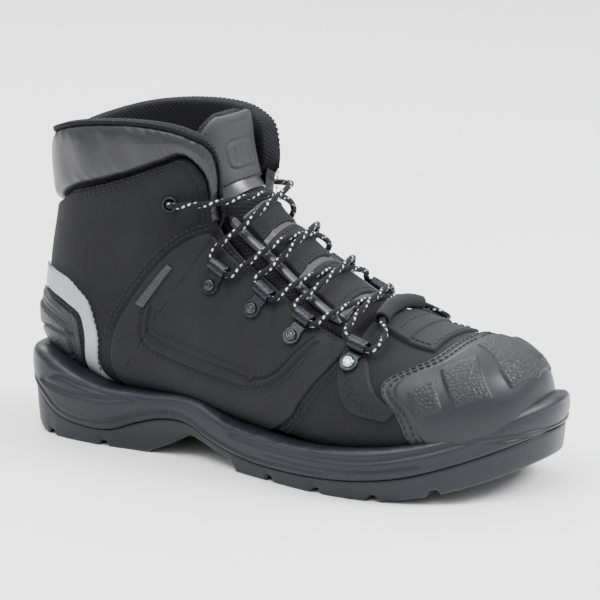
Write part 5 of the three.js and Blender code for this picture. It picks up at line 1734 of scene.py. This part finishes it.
        obj = Panel("keeper_strap", rail, mirrored(rail, Side.MEDIAL), 0.1, 2.0, columns=80, rows=70,
                    edge=1.3, shape=double).build()
        fit(obj, Finishes.overlay, BOOT, "vamp_lace_keeper")
        count, height, radius, inner = 50, 5.4, 4.0, 2.75
        t = np.linspace(-0.114, 0.114, count)
        s = 0.343 - 0.6 * t * t
        centre = FORM.skin(s, t, np.full(count, height))
        out = FORM.skin(s, t, np.full(count, height + 1)) - centre
        tangent = unit(np.gradient(centre, axis=0))
        across = unit(np.cross(tangent, out))
        middle = count // 2
        ahead = FORM.point(np.array([0.3]), np.array([0.0]))[0] - centre[middle]
        across = across * np.sign(across[middle] @ ahead)
        turn = np.radians(np.linspace(-112, -428, 34))
        outer = np.column_stack([radius * np.cos(turn), radius * np.sin(turn)])
        section = np.vstack([outer, outer[::-1] * (inner / radius)])
        obj = sweep_mesh("keeper_fold", centre, across, out, section)
        fit(obj, Finishes.overlay, BOOT)
        rows = [Stitching([[0.235, -0.125], [0.27, -0.118], [0.312, -0.103]], 2.3),
                Stitching([[0.235, 0.125], [0.27, 0.118], [0.312, 0.103]], 2.3),
                Stitching([[0.304, -0.10], [0.306, 0.0], [0.304, 0.10]], 3.0),
                Stitching([[0.231, -0.12], [0.229, 0.0], [0.231, 0.12]], 2.1)]
        fit(stitch_mesh("stitches_keeper", rows), Finishes.thread, BOOT)

    def build(self) -> None:
        """Builds and dresses all the hardware."""
        for side in Side:
            for row in range(len(self.rivets)):
                self.loop(row, side)
            self.eyelet(side)
        self.keeper()


# ---- Lace ---------------------------------------------------------------------------------------
@dataclass
class Lace:
    """One round braided lace, from aglet to aglet through the eyelets, loops and keeper."""

    hardware: Hardware
    radius: float = 1.6
    sides: int = 28
    spacing: float = 0.42
    crossing_lift: float = 4.6
    half_straight: float = 7.2
    pitch: float = 26.0
    braid: float = 2.6
    fleck: float = 2.9
    aglet_rings: int = 22
    aglet_sides: int = 20
    inside: Points = ((0.67, -0.43, -10), (0.74, -0.41, -9.7), (0.80, -0.385, -10), (0.826, -0.372, -9.2),
                      (0.831, -0.370, -7), (0.831, -0.370, 1.8), (0.826, -0.355, 4.6))
    strands: tuple = (
        ((0.803, -0.295, 5.4), (0.771, -0.225, 6.2), (0.725, -0.145, 4.2), (0.688, -0.075, 0.6),
         (0.66, 0, -1.8), (0.647, 0.09, 0.6), (0.641, 0.18, 4.0), (0.648, 0.252, 5.7)),
        ((0.58, 0.26, 5.6), (0.564, 0.18, 4.2), (0.55, 0.09, 2.2), (0.536, 0, 1.5), (0.53, -0.09, 2.2),
         (0.534, -0.19, 4.4), (0.546, -0.252, 5.6)),
        ((0.495, -0.245, 5.6), (0.478, -0.17, 4.2), (0.462, -0.09, 2.2), (0.448, 0, 1.5), (0.445, 0.09, 2.2),
         (0.453, 0.18, 4.4), (0.465, 0.242, 5.6)),
        ((0.415, 0.233, 5.6), (0.4, 0.165, 4.2), (0.387, 0.085, 2.2), (0.375, 0, 1.7), (0.372, -0.085, 2.2),
         (0.372, -0.16, 4.2), (0.370, -0.218, 5.5)))
    to_keeper: Points = ((0.309, -0.220, 5.6), (0.311, -0.172, 5.3), (0.334, -0.11, 5.4), (0.343, -0.03, 5.4))

    def placed(self, points: Points, side: Side, over: bool) -> list[Array]:
        """Points of the boot from (s, t, height) ones, lifted at the middle where the lace passes over."""
        s, t, h = np.asarray(points, float).T
        lift = self.crossing_lift * np.maximum(0, 1 - (t / 0.17) ** 2) if over else 0
        return list(FORM.skin(s, t * side.value, h + lift))

    def half(self, side: Side, over: Sequence[bool]) -> list[Array]:
        """Points of half the lace, from its tip to the keeper."""
        other = {Side.LATERAL: Side.MEDIAL, Side.MEDIAL: Side.LATERAL}[side]
        points = self.placed(self.inside, side, False)
        for i, strand in enumerate(self.strands):
            points += self.placed(strand, side, over[i])
            spot = self.hardware.place(3 - i, other if i % 2 == 0 else side)
            ends = [spot.at(np.array([spot.reach, k * self.half_straight, spot.rise])) for k in (-1, 1)]
            points += sorted(ends, key=lambda p: -p[2])
        return points + self.placed(self.to_keeper, side, False)

    def build(self) -> None:
        """Builds the lace and its two aglets."""
        points = np.array([*self.half(Side.LATERAL, (False, True, False, True)),
                           *self.half(Side.MEDIAL, (True, False, True, False))[::-1]])
        dense = curve(points, np.linspace(0, 1, 40 * len(points)))
        run = lengths(dense)
        at = np.linspace(0, run[-1], int(run[-1] / self.spacing))
        centre = np.stack([np.interp(at, run, dense[:, k]) for k in range(3)], -1)
        LOG.info("lace: %.0f mm", run[-1])
        across, up = frames_along(centre)
        angle = 2 * np.pi * np.arange(self.sides) / self.sides
        run_at, turn = at[:, None], angle[None]
        twist = run_at * 2 * np.pi / self.braid
        braid = np.maximum(np.cos(6 * turn + twist), np.cos(6 * turn - twist))
        swell = 0.985 + 0.045 * braid
        phase = [(turn / (2 * np.pi) + run_at / self.pitch + k) % 1 for k in (0.0, 0.5)]
        strand = [np.exp(-((np.abs(p - 0.5)) / 0.048) ** 4) for p in phase]
        broken = smoothstep(0.15, 0.4, np.cos(run_at * 2 * np.pi / self.fleck + 0.9 * turn))
        mark = np.clip(sum(strand) * broken, 0, 1)
        obj = sweep_mesh("shoelace", centre, across, up, circle(self.radius, self.sides),
                         {"mark": mark.ravel()}, swell)
        fit(obj, Finishes.lace, BOOT, "lace")
        for word, end, beyond in (("lateral", centre[0], centre[0] - centre[4]),
                                  ("medial", centre[-1], centre[-1] - centre[-5])):
            way = beyond / np.linalg.norm(beyond)
            path = end + way * np.linspace(1, 21, self.aglet_rings)[:, None]
            tip_across, tip_up = frames_along(path)
            size = np.ones((self.aglet_rings, self.aglet_sides))
            size[0] = size[-1] = 0.75
            tip = sweep_mesh(f"lace_tip_{word}", path, tip_across, tip_up,
                             circle(1.5, self.aglet_sides), swell=size)
            fit(tip, Finishes.aglet, BOOT, f"aglet_{word}")


# ---- Kept parts and the studio ------------------------------------------------------------------
def dress_kept(nodes: dict[str, bpy.types.Object]) -> None:
    """Gives the inner parts that stay as packed their finishes."""
    finishes = {"puncture_plate": Finishes.aramid, "insole_board": Finishes.board,
                "heel_stiffener": Finishes.board, "steel_toe_cap": Finishes.steel,
                "toe_cap_edge_strip": Finishes.edge_rubber}
    for name, finish in finishes.items():
        obj = nodes[name]
        obj.data.materials.clear()
        obj.data.materials.append(finish.make())


@dataclass
class Studio:
    """A pale floor, soft lights, and a camera three quarters from the front on the outer side."""

    target: tuple = (0.0, 0.00235, 0.080)
    distance: float = 1.8
    slide: tuple = (0.0042, 0.0032)
    lens: float = 204.0
    back: tuple = (0.5008, -0.8335, 0.2334)
    sky: tuple = (0.10, 3.1)
    floor_size: float = 6.0

    def build(self) -> None:
        """Builds the floor, the world, the lights and the camera."""
        self.floor()
        self.world()
        self.light("key", (-0.1, -0.75, 1.45), 0.8, 20.0)
        self.light("fill", (1.2, 0.45, 1.15), 0.6, 40.0)
        self.light("back", (-1.1, 0.9, 1.3), 1.0, 20.0)
        self.camera()

    def floor(self) -> None:
        """A large pale plane just under the boot."""
        half = self.floor_size / 2
        mesh = bpy.data.meshes.new("studio_floor")
        corners = [(-half, -half, 0), (half, -half, 0), (half, half, 0), (-half, half, 0)]
        mesh.from_pydata(corners, [], [(0, 1, 2, 3)])
        floor = bpy.data.objects.new("studio_floor", mesh)
        bpy.context.scene.collection.objects.link(floor)
        material = bpy.data.materials.new("Studio floor")
        material.use_nodes = True
        shader = material.node_tree.nodes["Principled BSDF"]
        shader.inputs["Base Color"].default_value = (0.86, 0.86, 0.865, 1)
        shader.inputs["Roughness"].default_value = 0.9
        shader.inputs["Specular IOR Level"].default_value = 0.1
        mesh.materials.append(material)

    def world(self) -> None:
        """A white surround, dim at the horizon and bright overhead."""
        world = bpy.data.worlds.new("Studio")
        world.use_nodes = True
        background = world.node_tree.nodes["Background"]
        background.inputs["Color"].default_value = (1, 1, 1, 1)
        nodes = Nodes(world.node_tree)
        way = nodes.add("ShaderNodeTexCoord").outputs["Generated"]
        height = nodes.add("ShaderNodeSeparateXYZ", None, Vector=way).outputs["Z"]
        world.node_tree.links.new(nodes.remap(height, 0.0, 1.0, *self.sky), background.inputs["Strength"])
        bpy.context.scene.world = world

    def light(self, name: str, place: tuple, size: float, power: float) -> None:
        """One soft square light aimed at the boot.

        Args:
            name: the light's name.
            place: where it stands, in metres.
            size: side of the square, in metres.
            power: its power, in watts.
        """
        data = bpy.data.lights.new(name, "AREA")
        data.size = size
        data.energy = power
        lamp = bpy.data.objects.new(name, data)
        bpy.context.scene.collection.objects.link(lamp)
        lamp.location = place
        lamp.rotation_mode = "QUATERNION"
        lamp.rotation_quaternion = (Vector(self.target) - Vector(place)).to_track_quat("-Z", "Y")

    def camera(self) -> None:
        """A long lens on the boot."""
        back = Vector(self.back).normalized()
        right = Vector((-back.y, back.x, 0)).normalized()
        up = back.cross(right)
        data = bpy.data.cameras.new("camera")
        data.lens = self.lens
        data.clip_end = 100
        camera = bpy.data.objects.new("camera", data)
        bpy.context.scene.collection.objects.link(camera)
        camera.rotation_mode = "QUATERNION"
        camera.rotation_quaternion = Matrix((right, up, back)).transposed().to_quaternion()
        aside, higher = self.slide
        camera.location = Vector(self.target) + back * self.distance + right * aside + up * higher
        bpy.context.scene.camera = camera


def main() -> None:
    """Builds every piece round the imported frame."""
    logging.basicConfig(level=logging.INFO, format="%(message)s")
    GROUPS.update(hide=hide_group(), wear=wear_group(), dust=dust_group(), knit=knit_group())
    hardware = Hardware()
    for part in (Sole(), Upper(), Collar(), Tongue(), hardware, Lace(hardware), Studio()):
        part.build()
    dress_kept(frame["nodes"])


if __name__ == "__main__":
    main()
